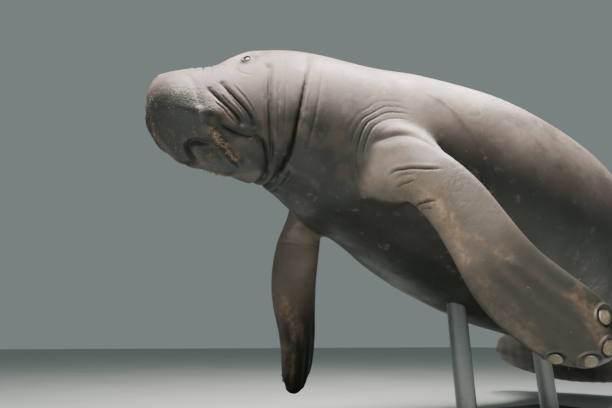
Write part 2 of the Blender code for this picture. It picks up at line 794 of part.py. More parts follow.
def make_flippers(chest, group, parts, looks):
    """Frees both flippers from the chest by thin cuts and sets their nails."""
    made = []
    for flipper in FLIPPERS.values():
        centre, along, chord, palm = flipper_frame(flipper, FLIPPER_CUT)
        disc = rod("disc", group, FLIPPER_CUT_RADIUS, GAP, 24)
        set_matrix(disc, Vector(centre), chord, palm * flipper["palm_side"], along)
        boolean(chest, disc, "DIFFERENCE")
    pieces = split_islands(chest.data, 3)
    for piece in pieces:
        fan_caps(piece)
    chest.data = pieces[0]
    for piece in pieces[1:]:
        side = "left" if points_of(piece)[:, 1].mean() < 0 else "right"
        flipper = FLIPPERS[side]
        item = new_object("flipper_" + side, piece, parts)
        for number, (station, across) in enumerate(NAIL_PLACES, 1):
            pocket = nail_shape("pocket", group, flipper, station, across, GAP)
            boolean(item, pocket, "DIFFERENCE")
            nail = nail_shape(f"nail_{side}_{number}", parts, flipper, station, across, 0.0)
            nail.data.materials.append(looks["nail"])
            made.append(nail)
        keep_largest(item)
        made.append(item)
    return made


def make_head(block, group, parts, looks):
    """Muzzle, head and lower jaw with mouth, nostrils and eyes."""
    boolean(block, mouth_slab(group), "DIFFERENCE")
    upper, lower = split_islands(block.data, 2)
    bpy.data.objects.remove(block)
    jaw = new_object("lower_jaw", lower, parts)
    boolean(jaw, mouth_groove(group), "DIFFERENCE")
    keep_largest(jaw)
    top = new_object("upper", upper, group)
    boolean(top, mouth_groove(group), "DIFFERENCE")
    plane = (MUZZLE_X, MUZZLE_LEAN)
    muzzle = new_object("muzzle", slice_of(top.data, None, plane), parts)
    head = new_object("head", slice_of(top.data, plane, None), parts)
    bpy.data.objects.remove(top)
    made = [jaw, muzzle, head]
    for side, name in ((1, "eye_left"), (-1, "eye_right")):
        cut_nostril(muzzle, group, side)
        made.append(cut_eye(head, group, parts, side, name, looks["eye"]))
    keep_largest(muzzle)
    keep_largest(head)
    return made


def make_stand(belly, group, parts, lift, looks):
    """Base plate and two rods that end in pockets in the belly."""
    base = primitive("stand_base", parts, base_plate)
    base.data.materials.append(looks["base"])
    for name, x in (("stand_rod_front", FRONT_ROD_X), ("stand_rod_rear", REAR_ROD_X)):
        foot = tip_up(bend(on_body(np.array([x]), np.array([270.0]))))[0] + lift
        low = BASE_THICKNESS + GAP
        high = foot[2] + ROD_INSET
        middle = Vector((foot[0], foot[1], (low + high) / 2))
        pocket = rod("pocket", group, ROD_RADIUS + GAP, high - low + 2 * GAP)
        pocket.data.transform(Matrix.Translation(middle))
        boolean(belly, pocket, "DIFFERENCE")
        item = rod(name, parts, ROD_RADIUS, high - low)
        item.data.transform(Matrix.Translation(middle))
        item.data.materials.append(looks["rod"])
    keep_largest(belly)


def base_plate(bm):
    """Flat plate with round corners and a small bevel on its upper edge."""
    bmesh.ops.create_cube(bm, size=1.0)
    bmesh.ops.scale(bm, vec=(BASE_LENGTH, BASE_WIDTH, BASE_THICKNESS), verts=bm.verts)
    bmesh.ops.translate(bm, vec=(0, 0, BASE_THICKNESS / 2), verts=bm.verts)
    upright = [edge for edge in bm.edges if abs(edge.verts[0].co.z - edge.verts[1].co.z) > BASE_THICKNESS / 2]
    bmesh.ops.bevel(bm, geom=upright, offset=BASE_CORNER, segments=6, affect="EDGES", profile=0.5)
    rim = [edge for edge in bm.edges if edge.is_manifold
           and all(abs(v.co.z - BASE_THICKNESS) < 1e-6 for v in edge.verts)
           and abs(edge.calc_face_angle()) > 1.0]
    bmesh.ops.bevel(bm, geom=rim, offset=BASE_BEVEL, segments=2, affect="EDGES", profile=0.5)


def build():
    clear_scene()
    parts = collection("manatee")
    group = collection("cutters")
    looks = {
        "hide": material("manatee_hide", (0.20, 0.19, 0.17), 0.6),
        "eye": material("eye_gloss", (0.02, 0.015, 0.01), 0.1),
        "nail": material("nail_horn", (0.42, 0.38, 0.25), 0.4),
        "base": material("stand_base_paint", (0.03, 0.03, 0.032), 0.5),
        "rod": material("stand_rod_steel", (0.5, 0.5, 0.5), 0.35, 1.0),
    }
    skin = smooth_skin(group)
    cuts = (None, (NECK_X, 0.0), (CHEST_X, CHEST_LEAN), (BELLY_X, 0.0), (STOCK_X, 0.0), (PADDLE_X, 0.0), None)
    names = ("head_block", "neck", "chest", "belly", "tail_stock", "tail_paddle")
    blocks = {}
    for name, start, end in zip(names, cuts[:-1], cuts[1:]):
        blocks[name] = new_object(name, slice_of(skin, start, end), parts)
    animal = make_head(blocks.pop("head_block"), group, parts, looks)
    animal += make_flippers(blocks["chest"], group, parts, looks)
    animal += blocks.values()

    for item in animal:
        set_points(item.data, tip_up(bend(points_of(item.data))))
    lowest = min(points_of(item.data)[:, 2].min() for item in animal)
    rods = tip_up(bend(on_body(np.array([FRONT_ROD_X, REAR_ROD_X]), np.array([270.0, 270.0]))))
    middle = rods.mean(axis=0)
    lift = np.array([-middle[0], -middle[1], LOWEST_POINT - lowest])
    for item in animal:
        set_points(item.data, points_of(item.data) + lift)
        if not item.data.materials:
            item.data.materials.append(looks["hide"])
    make_stand(blocks["belly"], group, parts, lift, looks)


build()
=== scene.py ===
"""A still, life-size manatee on its display stand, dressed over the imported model.

The skin is one seamless mesh. A coarse cage is set up in a straight rest frame, with the snout at x = 0,
the tail towards +X and the left side towards -Y. It is rounded, wrinkled by functions of the place on the
body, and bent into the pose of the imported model.
"""
import math

import bmesh
import bpy
import numpy as np
from mathutils import Matrix, Vector


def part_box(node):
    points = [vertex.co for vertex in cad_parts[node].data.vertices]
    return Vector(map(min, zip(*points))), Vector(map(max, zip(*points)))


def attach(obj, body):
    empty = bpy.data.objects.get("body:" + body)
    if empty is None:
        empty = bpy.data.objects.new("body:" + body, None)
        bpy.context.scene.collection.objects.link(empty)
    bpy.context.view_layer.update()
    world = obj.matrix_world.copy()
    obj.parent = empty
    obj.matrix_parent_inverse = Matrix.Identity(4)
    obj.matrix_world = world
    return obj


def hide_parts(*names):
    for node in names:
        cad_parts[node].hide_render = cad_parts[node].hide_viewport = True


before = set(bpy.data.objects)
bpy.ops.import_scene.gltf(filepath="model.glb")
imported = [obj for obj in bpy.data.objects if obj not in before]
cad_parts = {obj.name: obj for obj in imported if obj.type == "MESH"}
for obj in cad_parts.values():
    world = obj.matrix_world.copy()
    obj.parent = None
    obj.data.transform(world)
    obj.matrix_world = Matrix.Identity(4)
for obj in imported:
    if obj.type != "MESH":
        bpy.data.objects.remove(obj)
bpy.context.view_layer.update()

FLESH = ("head", "muzzle", "lower_jaw", "neck", "chest", "belly", "tail_stock", "tail_paddle",
         "flipper_left", "flipper_right")
SKIN_LEVEL = 4
HEAD_REACH = 0.42

# Facets of an eyeball and of a nail, around and from end to end
EYE_FACETS = (48, 32)
NAIL_FACETS = (40, 24)

# Seed of the bristles' places and directions, and how many stand on the lip and how many over the body
BRISTLE_SEED = 8
LIP_BRISTLES = 150
BODY_HAIRS = 420
# Added to the cells of the pits so that none is below zero
CELL_SHIFT = 4000

# Light: the world's colour and strength, and the long soft light over the animal
WORLD_COLOUR = (0.70, 0.84, 0.81, 1.0)
WORLD_STRENGTH = 0.27
LIGHT_PLACE = (-0.7, -0.55, 2.15)
LIGHT_AIM = (-0.7, 0.0, 0.8)
LIGHT_RUN = (0.97, 0.23, 0.0)
LIGHT_SIZE = (3.2, 0.35)
LIGHT_POWER = 268.0
LIGHT_COLOUR = (1.0, 0.93, 0.87)

# Start value of a search for the nearest, in metres or cells
FAR = 9.0

# Camera: place and aim before the animal is tipped nose up and lifted onto its rods
CAMERA_PLACE = (0.068, -1.053, -0.746)
CAMERA_AIM = (0.351, 0.847, 0.400)
CAMERA_LENS = 25.84
SENSOR_WIDTH = 36.0
NEAREST_SEEN = 0.02
FLOOR_HALF = 30.0

# Length of an arm and half the width of a hand, to measure places on a flipper
FLIPPER_LENGTH = 0.62
HALF_HAND = 0.075

# The pose in degrees, and the places of its bends along the body in metres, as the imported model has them
NOSE_UP = 14.0
HEAD_PITCH = -24.0
HEAD_YAW = -5.0
TAIL_PITCH = 3.5
PADDLE_PITCH = 11.0
TAIL_YAW = 36.0
HEAD_BEND = (0.18, 0.63)
TAIL_DROOP = (0.81, 2.14)
PADDLE_BEND = (1.91, 2.70)
TAIL_SWING = (0.81, 2.48)
STILL_X = 0.72
SPINE_END = 3.30
SPINE_STEP = 0.005

# Where the front rod meets the body, and how far it goes in
FRONT_ROD_X = 1.10
ROD_INSET = 0.045

# Cross-sections of the straight body: x, half width, height above and below the axis, squareness
SECTIONS = (
    (0.000, 0.066, 0.038, 0.056, 2.3),
    (0.014, 0.101, 0.055, 0.076, 2.3),
    (0.045, 0.126, 0.081, 0.110, 2.3),
    (0.100, 0.133, 0.101, 0.143, 2.3),
    (0.160, 0.131, 0.115, 0.154, 2.3),
    (0.225, 0.148, 0.150, 0.170, 2.2),
    (0.297, 0.173, 0.180, 0.192, 2.2),
    (0.387, 0.197, 0.192, 0.226, 2.2),
    (0.504, 0.235, 0.197, 0.272, 2.2),
    (0.675, 0.303, 0.242, 0.289, 2.2),
    (0.908, 0.362, 0.285, 0.350, 2.2),
    (1.238, 0.391, 0.304, 0.384, 2.2),
    (1.575, 0.369, 0.284, 0.350, 2.2),
    (1.912, 0.305, 0.240, 0.272, 2.2),
    (2.160, 0.235, 0.175, 0.186, 2.1),
    (2.329, 0.197, 0.120, 0.126, 2.0),
    (2.475, 0.225, 0.086, 0.088, 1.9),
    (2.644, 0.313, 0.060, 0.057, 1.8),
    (2.812, 0.372, 0.046, 0.044, 1.7),
    (2.981, 0.364, 0.035, 0.033, 1.7),
    (3.094, 0.262, 0.024, 0.022, 1.8),
    (3.150, 0.080, 0.011, 0.011, 1.9),
)

# Rings of the body cage, closer together on the head, at the shoulders and at the end of the tail
RING_X = (
    0.000, 0.014, 0.042, 0.072, 0.102, 0.132, 0.162, 0.192, 0.225, 0.260, 0.297, 0.340, 0.387, 0.440, 0.500,
    0.555, 0.600, 0.645, 0.690, 0.760, 0.850, 0.950, 1.060, 1.180, 1.310, 1.440, 1.570, 1.700, 1.820, 1.940,
    2.060, 2.170, 2.270, 2.350, 2.430, 2.530, 2.640, 2.750, 2.860, 2.960, 3.040, 3.100, 3.136, 3.150,
)
SHOULDER_RING = 15
UPPER_ANGLES = (0, 15, 30, 45, 60, 75, 90, 105, 120, 135, 150, 165, 180)
LOWER_ANGLES = (194, 207, 220, 233, 251, 270, 289, 307, 320, 333, 346)
RING_ANGLES = UPPER_ANGLES + LOWER_ANGLES
AROUND = len(RING_ANGLES)
BODY_SWELL = 1.0115
SNOUT_BULGE = 0.006
SNOUT_LEAN = 0.18
SNOUT_REACH = 0.09
TAIL_BULGE = 0.004

# Flippers: joint places in the rest frame, chord directions from the leading to the trailing edge
FLIPPERS = {
    "left": {
        "shoulder": (0.620, -0.250, -0.140),
        "elbow": (0.704, -0.356, -0.261),
        "wrist": (0.809, -0.453, -0.447),
        "tip": (0.914, -0.563, -0.553),
        "root_chord": (-0.25, -0.33, 0.91),
        "hand_chord": (0.26, -0.67, 0.70),
        "first_corner": -45,
        "columns": (13, 14, 15, 16),
        "palm_side": -1,
        "half_chords": (0.078, 0.071, 0.072, 0.073, 0.078, 0.084, 0.081, 0.068, 0.045, 0.026),
    },
    "right": {
        "shoulder": (0.598, 0.246, -0.162),
        "elbow": (0.631, 0.285, -0.345),
        "wrist": (0.732, 0.339, -0.562),
        "tip": (0.795, 0.390, -0.724),
        "root_chord": (0.93, -0.33, -0.12),
        "hand_chord": (0.78, 0.43, 0.45),
        "first_corner": -135,
        "columns": (23, 22, 21, 20),
        "palm_side": 1,
        "half_chords": (0.080, 0.080, 0.085, 0.086, 0.086, 0.087, 0.082, 0.067, 0.045, 0.026),
    },
}
# Stations along a flipper from shoulder to tip for its half chords, and the half thickness at each
FLIPPER_STATIONS = (0.00, 0.15, 0.30, 0.45, 0.60, 0.74, 0.85, 0.93, 0.98, 1.00)
FLIPPER_HALF_THICK = (0.066, 0.052, 0.043, 0.036, 0.030, 0.026, 0.022, 0.018, 0.013, 0.009)
FLIPPER_RINGS = (
    0.16, 0.205, 0.25, 0.305, 0.36, 0.415, 0.47, 0.525, 0.58, 0.635, 0.69, 0.74, 0.79, 0.83, 0.87, 0.90, 0.93,
    0.95, 0.97, 0.983, 0.995,
)
FLIPPER_AROUND = 12
FLIPPER_SWELL = 1.045

# Swellings of the head: (x, degrees above the side line) along each, mirrored left and right
LIP_RIDGE = ((0.113, -37), (0.140, -44), (0.156, -51), (0.187, -64), (0.205, -69))
LIP_EDGE = ((0.035, -28), (0.066, -27), (0.110, -27), (0.138, -25))
EYE_X = 0.238
EYE_ANGLE = 35.2
EYE_RADIUS = 0.0125
EYE_SINK = 0.0105
NOSTRIL_X = 0.036
NOSTRIL_ANGLE = 62.0
NOSTRIL_RADIUS = 0.011
HEAD_RADIUS = 0.13
# Swellings and dips of the head: distance outwards, line and spread
HEAD_FORMS = (
    # Swollen lip pads with the edge where they turn under, cheeks, lobe of the lower jaw and ridge of the lip
    (0.008, ((0.060, -12), (0.110, -22)), 0.040),
    (0.008, LIP_EDGE, 0.019),
    (0.005, ((0.000, -12), (0.025, -20)), 0.034),
    (0.010, ((0.232, -56), (0.262, -68)), 0.030),
    (0.005, LIP_RIDGE, 0.010),
    # Brow and the mound that carries the eye
    (0.006, ((0.205, 47), (0.250, 53)), 0.026),
    (0.003, ((EYE_X, EYE_ANGLE), (EYE_X + 0.001, EYE_ANGLE)), 0.024),
    # Raised cushions that carry the nostrils, and the dip behind them
    (0.006, ((0.030, 62), (0.060, 66)), 0.022),
    (-0.005, ((0.128, 70), (0.135, 90)), 0.026),
    # Soft creases of the snout, of the cheek behind the lip pad and of the neck
    (-0.003, ((0.084, 22), (0.094, 4), (0.097, -8), (0.101, -18)), 0.009),
    (-0.005, ((0.164, 7), (0.191, -9), (0.215, -21), (0.232, -33)), 0.008),
    (-0.005, ((0.130, -3), (0.158, -12), (0.187, -24), (0.200, -31)), 0.008),
    (-0.006, ((0.279, 19), (0.269, -11), (0.276, -41), (0.293, -71), (0.296, -90)), 0.010),
    (-0.009, ((0.370, 34), (0.352, -5), (0.338, -37), (0.327, -61), (0.325, -90)), 0.013),
    (-0.005, ((0.243, -40), (0.258, -46), (0.269, -53), (0.283, -67), (0.293, -89)), 0.010),
)
NAIL_LENGTH = 0.019
NAIL_WIDTH = 0.031
NAIL_THICKNESS = 0.009
NAIL_PLACES = ((0.900, -0.90), (0.970, -0.64), (0.985, 0.22), (0.930, 0.72))


def smooth(low, high, value):
    """Smooth step from 0 at low to 1 at high."""
    t = np.clip((value - low) / (high - low), 0.0, 1.0)
    return t * t * (3.0 - 2.0 * t)


def bell(value, middle, spread):
    """1 at the middle value, falling smoothly to 0 a few spreads away."""
    return np.exp(-((value - middle) / spread) ** 2)


def window(value, rise, full, fall, end):
    """Smooth step from 0 at rise to 1 at full, and from 1 at fall back to 0 at end."""
    return smooth(rise, full, value) * (1 - smooth(fall, end, value))


def ripple(turns, power, shift=0.0):
    """Rounded ridges, one to each turn, with flat ground between them."""
    return np.maximum(np.sin(turns * 2 * math.pi + shift), 0) ** power


def smooth_curve(xs, ys, at):
    """Cubic through the points that never overshoots them."""
    xs = np.asarray(xs, float)
    ys = np.asarray(ys, float)
    at = np.clip(at, xs[0], xs[-1])
    step = np.diff(xs)
    slope = np.diff(ys) / step
    tangent = np.zeros_like(ys)
    same = slope[1:] * slope[:-1] > 0
    weight_a = 2 * step[1:] + step[:-1]
    weight_b = step[1:] + 2 * step[:-1]
    before = np.where(same, slope[:-1], 1)
    after = np.where(same, slope[1:], 1)
    mean = (weight_a + weight_b) / (weight_a / before + weight_b / after)
    tangent[1:-1] = np.where(same, mean, 0.0)
    tangent[0] = slope[0]
    tangent[-1] = slope[-1]
    k = np.clip(np.searchsorted(xs, at, side="right") - 1, 0, len(xs) - 2)
    t = (at - xs[k]) / step[k]
    rise = ys[k] * (1 + 2 * t) * (1 - t) ** 2 + ys[k + 1] * t * t * (3 - 2 * t)
    bend = step[k] * (tangent[k] * t * (1 - t) ** 2 - tangent[k + 1] * t * t * (1 - t))
    return rise + bend


SECTION_TABLE = np.array(SECTIONS)


def section(x):
    """Half width, height above, height below and squareness of the straight body at x."""
    return [smooth_curve(SECTION_TABLE[:, 0], SECTION_TABLE[:, k], x) for k in range(1, 5)]


def on_body(x, degrees):
    """Point of the straight body at x and at an angle counted from the right side line over the back."""
    width, top, bottom, square = section(x)
    angle = np.radians(degrees)
    c = np.cos(angle)
    s = np.sin(angle)
    reach = (np.abs(c) ** square + np.abs(s) ** square) ** (-1.0 / square)
    height = np.where(s > 0, top, bottom)
    return np.stack([x + 0 * c, width * reach * c, height * reach * s], -1)


def on_left(x, degrees_up):
    """Point of the straight body on the left side, at an angle above the side line."""
    return on_body(np.asarray(x, float), 180.0 - np.asarray(degrees_up, float))


# The coarse cage


def patch_inside(loop, bulge):
    """Grid of points inside a closed loop of 4n points whose corners are points 0, n, 2n and 3n."""
    n = len(loop) // 4
    side_a = loop[0:n + 1]
    side_b = loop[n:2 * n + 1]
    side_c = loop[2 * n:3 * n + 1][::-1]
    side_d = np.vstack([loop[3 * n:], loop[:1]])[::-1]
    grid = np.zeros((n + 1, n + 1, 3))
    for i in range(n + 1):
        for j in range(n + 1):
            u = i / n
            v = j / n
            across = (1 - v) * side_a[i] + v * side_c[i] + (1 - u) * side_d[j] + u * side_b[j]
            corners = (1 - u) * (1 - v) * loop[0] + u * (1 - v) * loop[n] + u * v * loop[2 * n]
            corners = corners + (1 - u) * v * loop[3 * n]
            swell = 16 * u * (1 - u) * v * (1 - v)
            grid[i, j] = across - corners + swell * bulge
    return grid


def close_loop(verts, faces, loop_ids, bulge):
    """Closes a loop of 4n cage points with an n by n patch of quads."""
    n = len(loop_ids) // 4
    loop = np.array([verts[k] for k in loop_ids])
    grid = patch_inside(loop, np.array(bulge))
    ids = {}
    for i in range(n + 1):
        ids[i, 0] = loop_ids[i]
        ids[n, i] = loop_ids[n + i]
        ids[n - i, n] = loop_ids[2 * n + i]
        ids[0, n - i] = loop_ids[(3 * n + i) % (4 * n)]
    for i in range(1, n):
        for j in range(1, n):
            ids[i, j] = len(verts)
            verts.append(grid[i, j])
    for i in range(n):
        for j in range(n):
            faces.append((ids[i, j], ids[i + 1, j], ids[i + 1, j + 1], ids[i, j + 1]))


def unit(vector):
    vector = np.asarray(vector, float)
    return vector / np.linalg.norm(vector)


def flipper_frame(flipper, t):
    """Centre, direction, chord and palm directions of a flipper at a station from 0 to 1."""
    joints = np.array([flipper[name] for name in ("shoulder", "elbow", "wrist", "tip")])
    lengths = np.linalg.norm(np.diff(joints, axis=0), axis=1)
    marks = np.concatenate([[0.0], np.cumsum(lengths)]) / lengths.sum()

    def centre(at):
        return np.array([smooth_curve(marks, joints[:, k], np.array(at)) for k in range(3)])

    along = unit(centre(min(t + 0.04, 1.0)) - centre(max(t - 0.04, 0.0)))
    mix = float(smooth(0.1, 0.8, t))
    chord = (1 - mix) * unit(flipper["root_chord"]) + mix * unit(flipper["hand_chord"])
    chord = unit(chord - along * chord.dot(along))
    palm = np.cross(along, chord) * flipper["palm_side"]
    return centre(t), along, chord, palm


def flipper_halves(flipper, t):
    """Half chord and half thickness of a flipper at a station."""
    stations = np.array(FLIPPER_STATIONS)
    return [float(smooth_curve(stations, np.array(half), np.array(t)))
            for half in (flipper["half_chords"], FLIPPER_HALF_THICK)]


def flipper_ring(flipper, t):
    """The ring of cage points round a flipper at a station."""
    centre, _, chord, palm = flipper_frame(flipper, t)
    half_chord, half_thick = flipper_halves(flipper, t)
    half_chord *= FLIPPER_SWELL
    half_thick *= FLIPPER_SWELL
    points = []
    for k in range(FLIPPER_AROUND):
        angle = math.radians(flipper["first_corner"] + k * 360.0 / FLIPPER_AROUND)
        points.append(centre + chord * half_chord * math.cos(angle) + palm * half_thick * math.sin(angle))
    return points


def add_flipper(verts, faces, flipper):
    """Grows a flipper out of the hole left for it in the body cage."""
    first = SHOULDER_RING
    last = SHOULDER_RING + 3
    top, second, third, bottom = flipper["columns"]
    hole = [(ring, top) for ring in range(first, last)]
    hole += [(last, column) for column in (top, second, third)]
    hole += [(ring, bottom) for ring in range(last, first, -1)]
    hole += [(first, column) for column in (bottom, third, second)]
    below = [ring * AROUND + column for ring, column in hole]
    for t in FLIPPER_RINGS:
        here = list(range(len(verts), len(verts) + FLIPPER_AROUND))
        verts.extend(flipper_ring(flipper, t))
        for k in range(FLIPPER_AROUND):
            nxt = (k + 1) % FLIPPER_AROUND
            faces.append((below[k], below[nxt], here[nxt], here[k]))
        below = here
    tip_reach = flipper_frame(flipper, 1.0)[1] * 0.012
    close_loop(verts, faces, below, tip_reach)


def animal_cage():
    """Vertices and quads of the whole straight animal."""
    verts = []
    faces = []
    for x in RING_X:
        for degrees in RING_ANGLES:
            point = on_body(np.array(x), np.array(float(degrees)))
            verts.append(point * (1.0, BODY_SWELL, BODY_SWELL))
    holes = set()
    for flipper in FLIPPERS.values():
        low = min(flipper["columns"])
        holes |= {(ring, low + k) for ring in range(SHOULDER_RING, SHOULDER_RING + 3) for k in range(3)}
    for ring in range(len(RING_X) - 1):
        for column in range(AROUND):
            if (ring, column) in holes:
                continue
            nxt = (column + 1) % AROUND
            a = ring * AROUND
            b = a + AROUND
            faces.append((a + column, a + nxt, b + nxt, b + column))
    corner = AROUND // 8
    front = [(corner + k) % AROUND for k in range(AROUND)]
    close_loop(verts, faces, front, (-SNOUT_BULGE, 0, 0))
    back = [(len(RING_X) - 1) * AROUND + k for k in front]
    close_loop(verts, faces, back, (TAIL_BULGE, 0, 0))
    for flipper in FLIPPERS.values():
        add_flipper(verts, faces, flipper)
    return np.array(verts), faces


# Places on the head


def round_angle(points):
    """Degrees above the side line, the same on the left and the right side."""
    width, top, bottom, _ = section(points[:, 0])
    height = np.where(points[:, 2] > 0, top, bottom)
    return np.degrees(np.arctan2(points[:, 2] / height, np.abs(points[:, 1]) / width))


def unrolled(x, degrees):
    """Places on the head in a plane, in metres: along the body, and round it from the side line upwards."""
    return np.stack([x, np.radians(degrees) * HEAD_RADIUS], -1)


def line_place(here, route):
    """Distance from a line, how far along it from 0 to 1, and the side of it in the first two axes."""
    lengths = np.linalg.norm(np.diff(route, axis=0), axis=1)
    passed = np.concatenate([[0.0], np.cumsum(lengths)])
    best = np.full(len(here), FAR)
    along = np.zeros(len(here))
    side = np.zeros(len(here))
    for k, run in enumerate(np.diff(route, axis=0)):
        off = here - route[k]
        t = np.clip((off @ run) / run.dot(run), 0, 1)
        gap = np.linalg.norm(off - t[:, None] * run, axis=1)
        closer = gap < best
        best = np.where(closer, gap, best)
        along = np.where(closer, (passed[k] + t * lengths[k]) / passed[-1], along)
        side = np.where(closer, np.sign(run[0] * off[:, 1] - run[1] * off[:, 0]), side)
    return best, along, side


def near_line(points, degrees, line, spread):
    """1 on a line drawn on the head and 0 far from it."""
    gap, _, _ = line_place(unrolled(points[:, 0], degrees), unrolled(*np.array(line, float).T))
    return bell(gap, 0, spread)


def head_forms(points):
    """How far each point of the head moves outwards."""
    degrees = round_angle(points)
    move = np.zeros(len(points))
    for rise, line, spread in HEAD_FORMS:
        move += rise * near_line(points, degrees, line, spread)
    # Groove down the middle of the snout
    groove = bell(points[:, 1], 0, 0.010) * (1 - smooth(0.02, 0.07, points[:, 0]))
    return move - 0.007 * groove * smooth(-0.10, -0.04, points[:, 2])


def outward(x, degrees_up):
    """Point, outward direction and two surface directions on the shaped left side of the head."""
    step = 0.004

    def shaped(at_x, at_angle):
        bare = on_left(np.array([at_x]), np.array([at_angle]))
        ahead = on_left(np.array([at_x + 0.001]), np.array([at_angle]))[0] - bare[0]
        above = on_left(np.array([at_x]), np.array([at_angle + 0.5]))[0] - bare[0]
        normal = unit(np.cross(ahead, above))
        return bare[0] + normal * head_forms(bare)[0]

    place = shaped(x, degrees_up)
    back = unit(shaped(x + step, degrees_up) - shaped(x - step, degrees_up))
    upper = shaped(x, degrees_up + 2.0) - shaped(x, degrees_up - 2.0)
    normal = unit(np.cross(back, upper))
    return place, normal, back, np.cross(normal, back)


# Posing


def heading(pitch, yaw):
    """Direction of the axis at a pitch and a yaw."""
    return np.stack([np.cos(pitch) * np.cos(yaw), np.cos(pitch) * np.sin(yaw), -np.sin(pitch)], -1)


def spine(x):
    """Place, pitch and yaw of the axis at distances along the straight body, and how far ahead of it."""
    fine = np.arange(0.0, SPINE_END, SPINE_STEP)
    head = 1 - smooth(*HEAD_BEND, fine)
    pitch = HEAD_PITCH * head + TAIL_PITCH * smooth(*TAIL_DROOP, fine)
    pitch = np.radians(pitch + PADDLE_PITCH * smooth(*PADDLE_BEND, fine))
    yaw = np.radians(HEAD_YAW * head + TAIL_YAW * smooth(*TAIL_SWING, fine))
    step = heading(pitch, yaw)
    path = np.concatenate([np.zeros((1, 3)), np.cumsum((step[1:] + step[:-1]) / 2 * SPINE_STEP, axis=0)])
    still = np.searchsorted(fine, STILL_X)
    path = path - path[still] + np.array([fine[still], 0.0, 0.0])
    place = np.stack([np.interp(x, fine, path[:, k]) for k in range(3)], -1)
    over = np.minimum(x, 0.0)
    return place, np.interp(x, fine, pitch), np.interp(x, fine, yaw), over


def bend(points):
    """Rest frame to the swimming pose, with the upper front of the snout ahead of the lower."""
    lean = SNOUT_LEAN * (1 - smooth(0.0, SNOUT_REACH, points[:, 0]))
    place, pitch, yaw, over = spine(points[:, 0] - lean * points[:, 2])
    along = heading(pitch, yaw)
    side = np.stack([-np.sin(yaw), np.cos(yaw), np.zeros_like(yaw)], -1)
    up = np.cross(along, side)
    return place + along * over[:, None] + side * points[:, 1:2] + up * points[:, 2:3]


def tip_up(points):
    """Turns the posed animal nose up about the y axis."""
    angle = math.radians(NOSE_UP)
    c = math.cos(angle)
    s = math.sin(angle)
    x = points[:, 0] * c + points[:, 2] * s
    z = points[:, 2] * c - points[:, 0] * s
    return np.stack([x, points[:, 1], z], -1)


# Noise made from numbers alone


def lattice(spots, seed):
    """A fixed pseudo-random number from 0 to 1 for each whole-number place."""
    mixed = spots[:, 0] * 73856093 ^ spots[:, 1] * 19349663 ^ spots[:, 2] * 83492791 ^ (seed * 2654435761)
    mixed = (mixed ^ (mixed >> 15)) * 2246822519 & 0xFFFFFFFF
    mixed = (mixed ^ (mixed >> 13)) * 3266489917 & 0xFFFFFFFF
    return ((mixed ^ (mixed >> 16)) & 0xFFFFFF) / float(0xFFFFFF)


def noise(points, size, seed):
    """Smooth noise from -1 to 1 whose lumps are about one size across. Size may differ by axis."""
    grid = points / np.asarray(size)
    base = np.floor(grid).astype(np.int64)
    part = grid - base
    part = part * part * (3 - 2 * part)
    total = np.zeros(len(points))
    for corner in range(8):
        step = np.array([corner & 1, corner >> 1 & 1, corner >> 2 & 1])
        weight = np.prod(np.where(step, part, 1 - part), axis=1)
        total += weight * lattice(base + step, seed)
    return total * 2 - 1


def scatter(points, size, seed):
    """Distances to the nearest and second nearest of points scattered one to a cell, in cell sizes."""
    grid = points / size
    base = np.floor(grid).astype(np.int64)
    first = np.full(len(points), FAR)
    second = np.full(len(points), FAR)
    for k in range(27):
        cell = base + np.array([k % 3 - 1, k // 3 % 3 - 1, k // 9 - 1])
        spot = np.stack([lattice(cell, seed + n) for n in range(3)], -1)
        gap = np.linalg.norm(cell + spot - grid, axis=1)
        second = np.minimum(second, np.maximum(first, gap))
        first = np.minimum(first, gap)
    return first, second


# Spacing of the bristle pits on the lip pads
PIT_SPACING = 0.0064

# Lines on the head: (x, degrees above the side line)
INNER_LIP = ((0.128, -52), (0.143, -53), (0.160, -58), (0.179, -66), (0.200, -76), (0.214, -84))
MOUTH_CORNER = ((0.146, -33), (0.170, -36), (0.192, -39), (0.222, -42), (0.246, -40))
LIP_OPENING = ((0.118, -96), (0.096, -85), (0.081, -75), (0.075, -66), (0.084, -59), (0.104, -55),
               (0.135, -53))

# The lines of the lips: half width, depth and painted shade of each
LIP_LINES = (
    (LIP_OPENING, 0.0085, 0.0150, 0.75),
    (INNER_LIP, 0.0042, 0.0060, 1.0),
    (MOUTH_CORNER, 0.0050, 0.0050, 1.0),
)

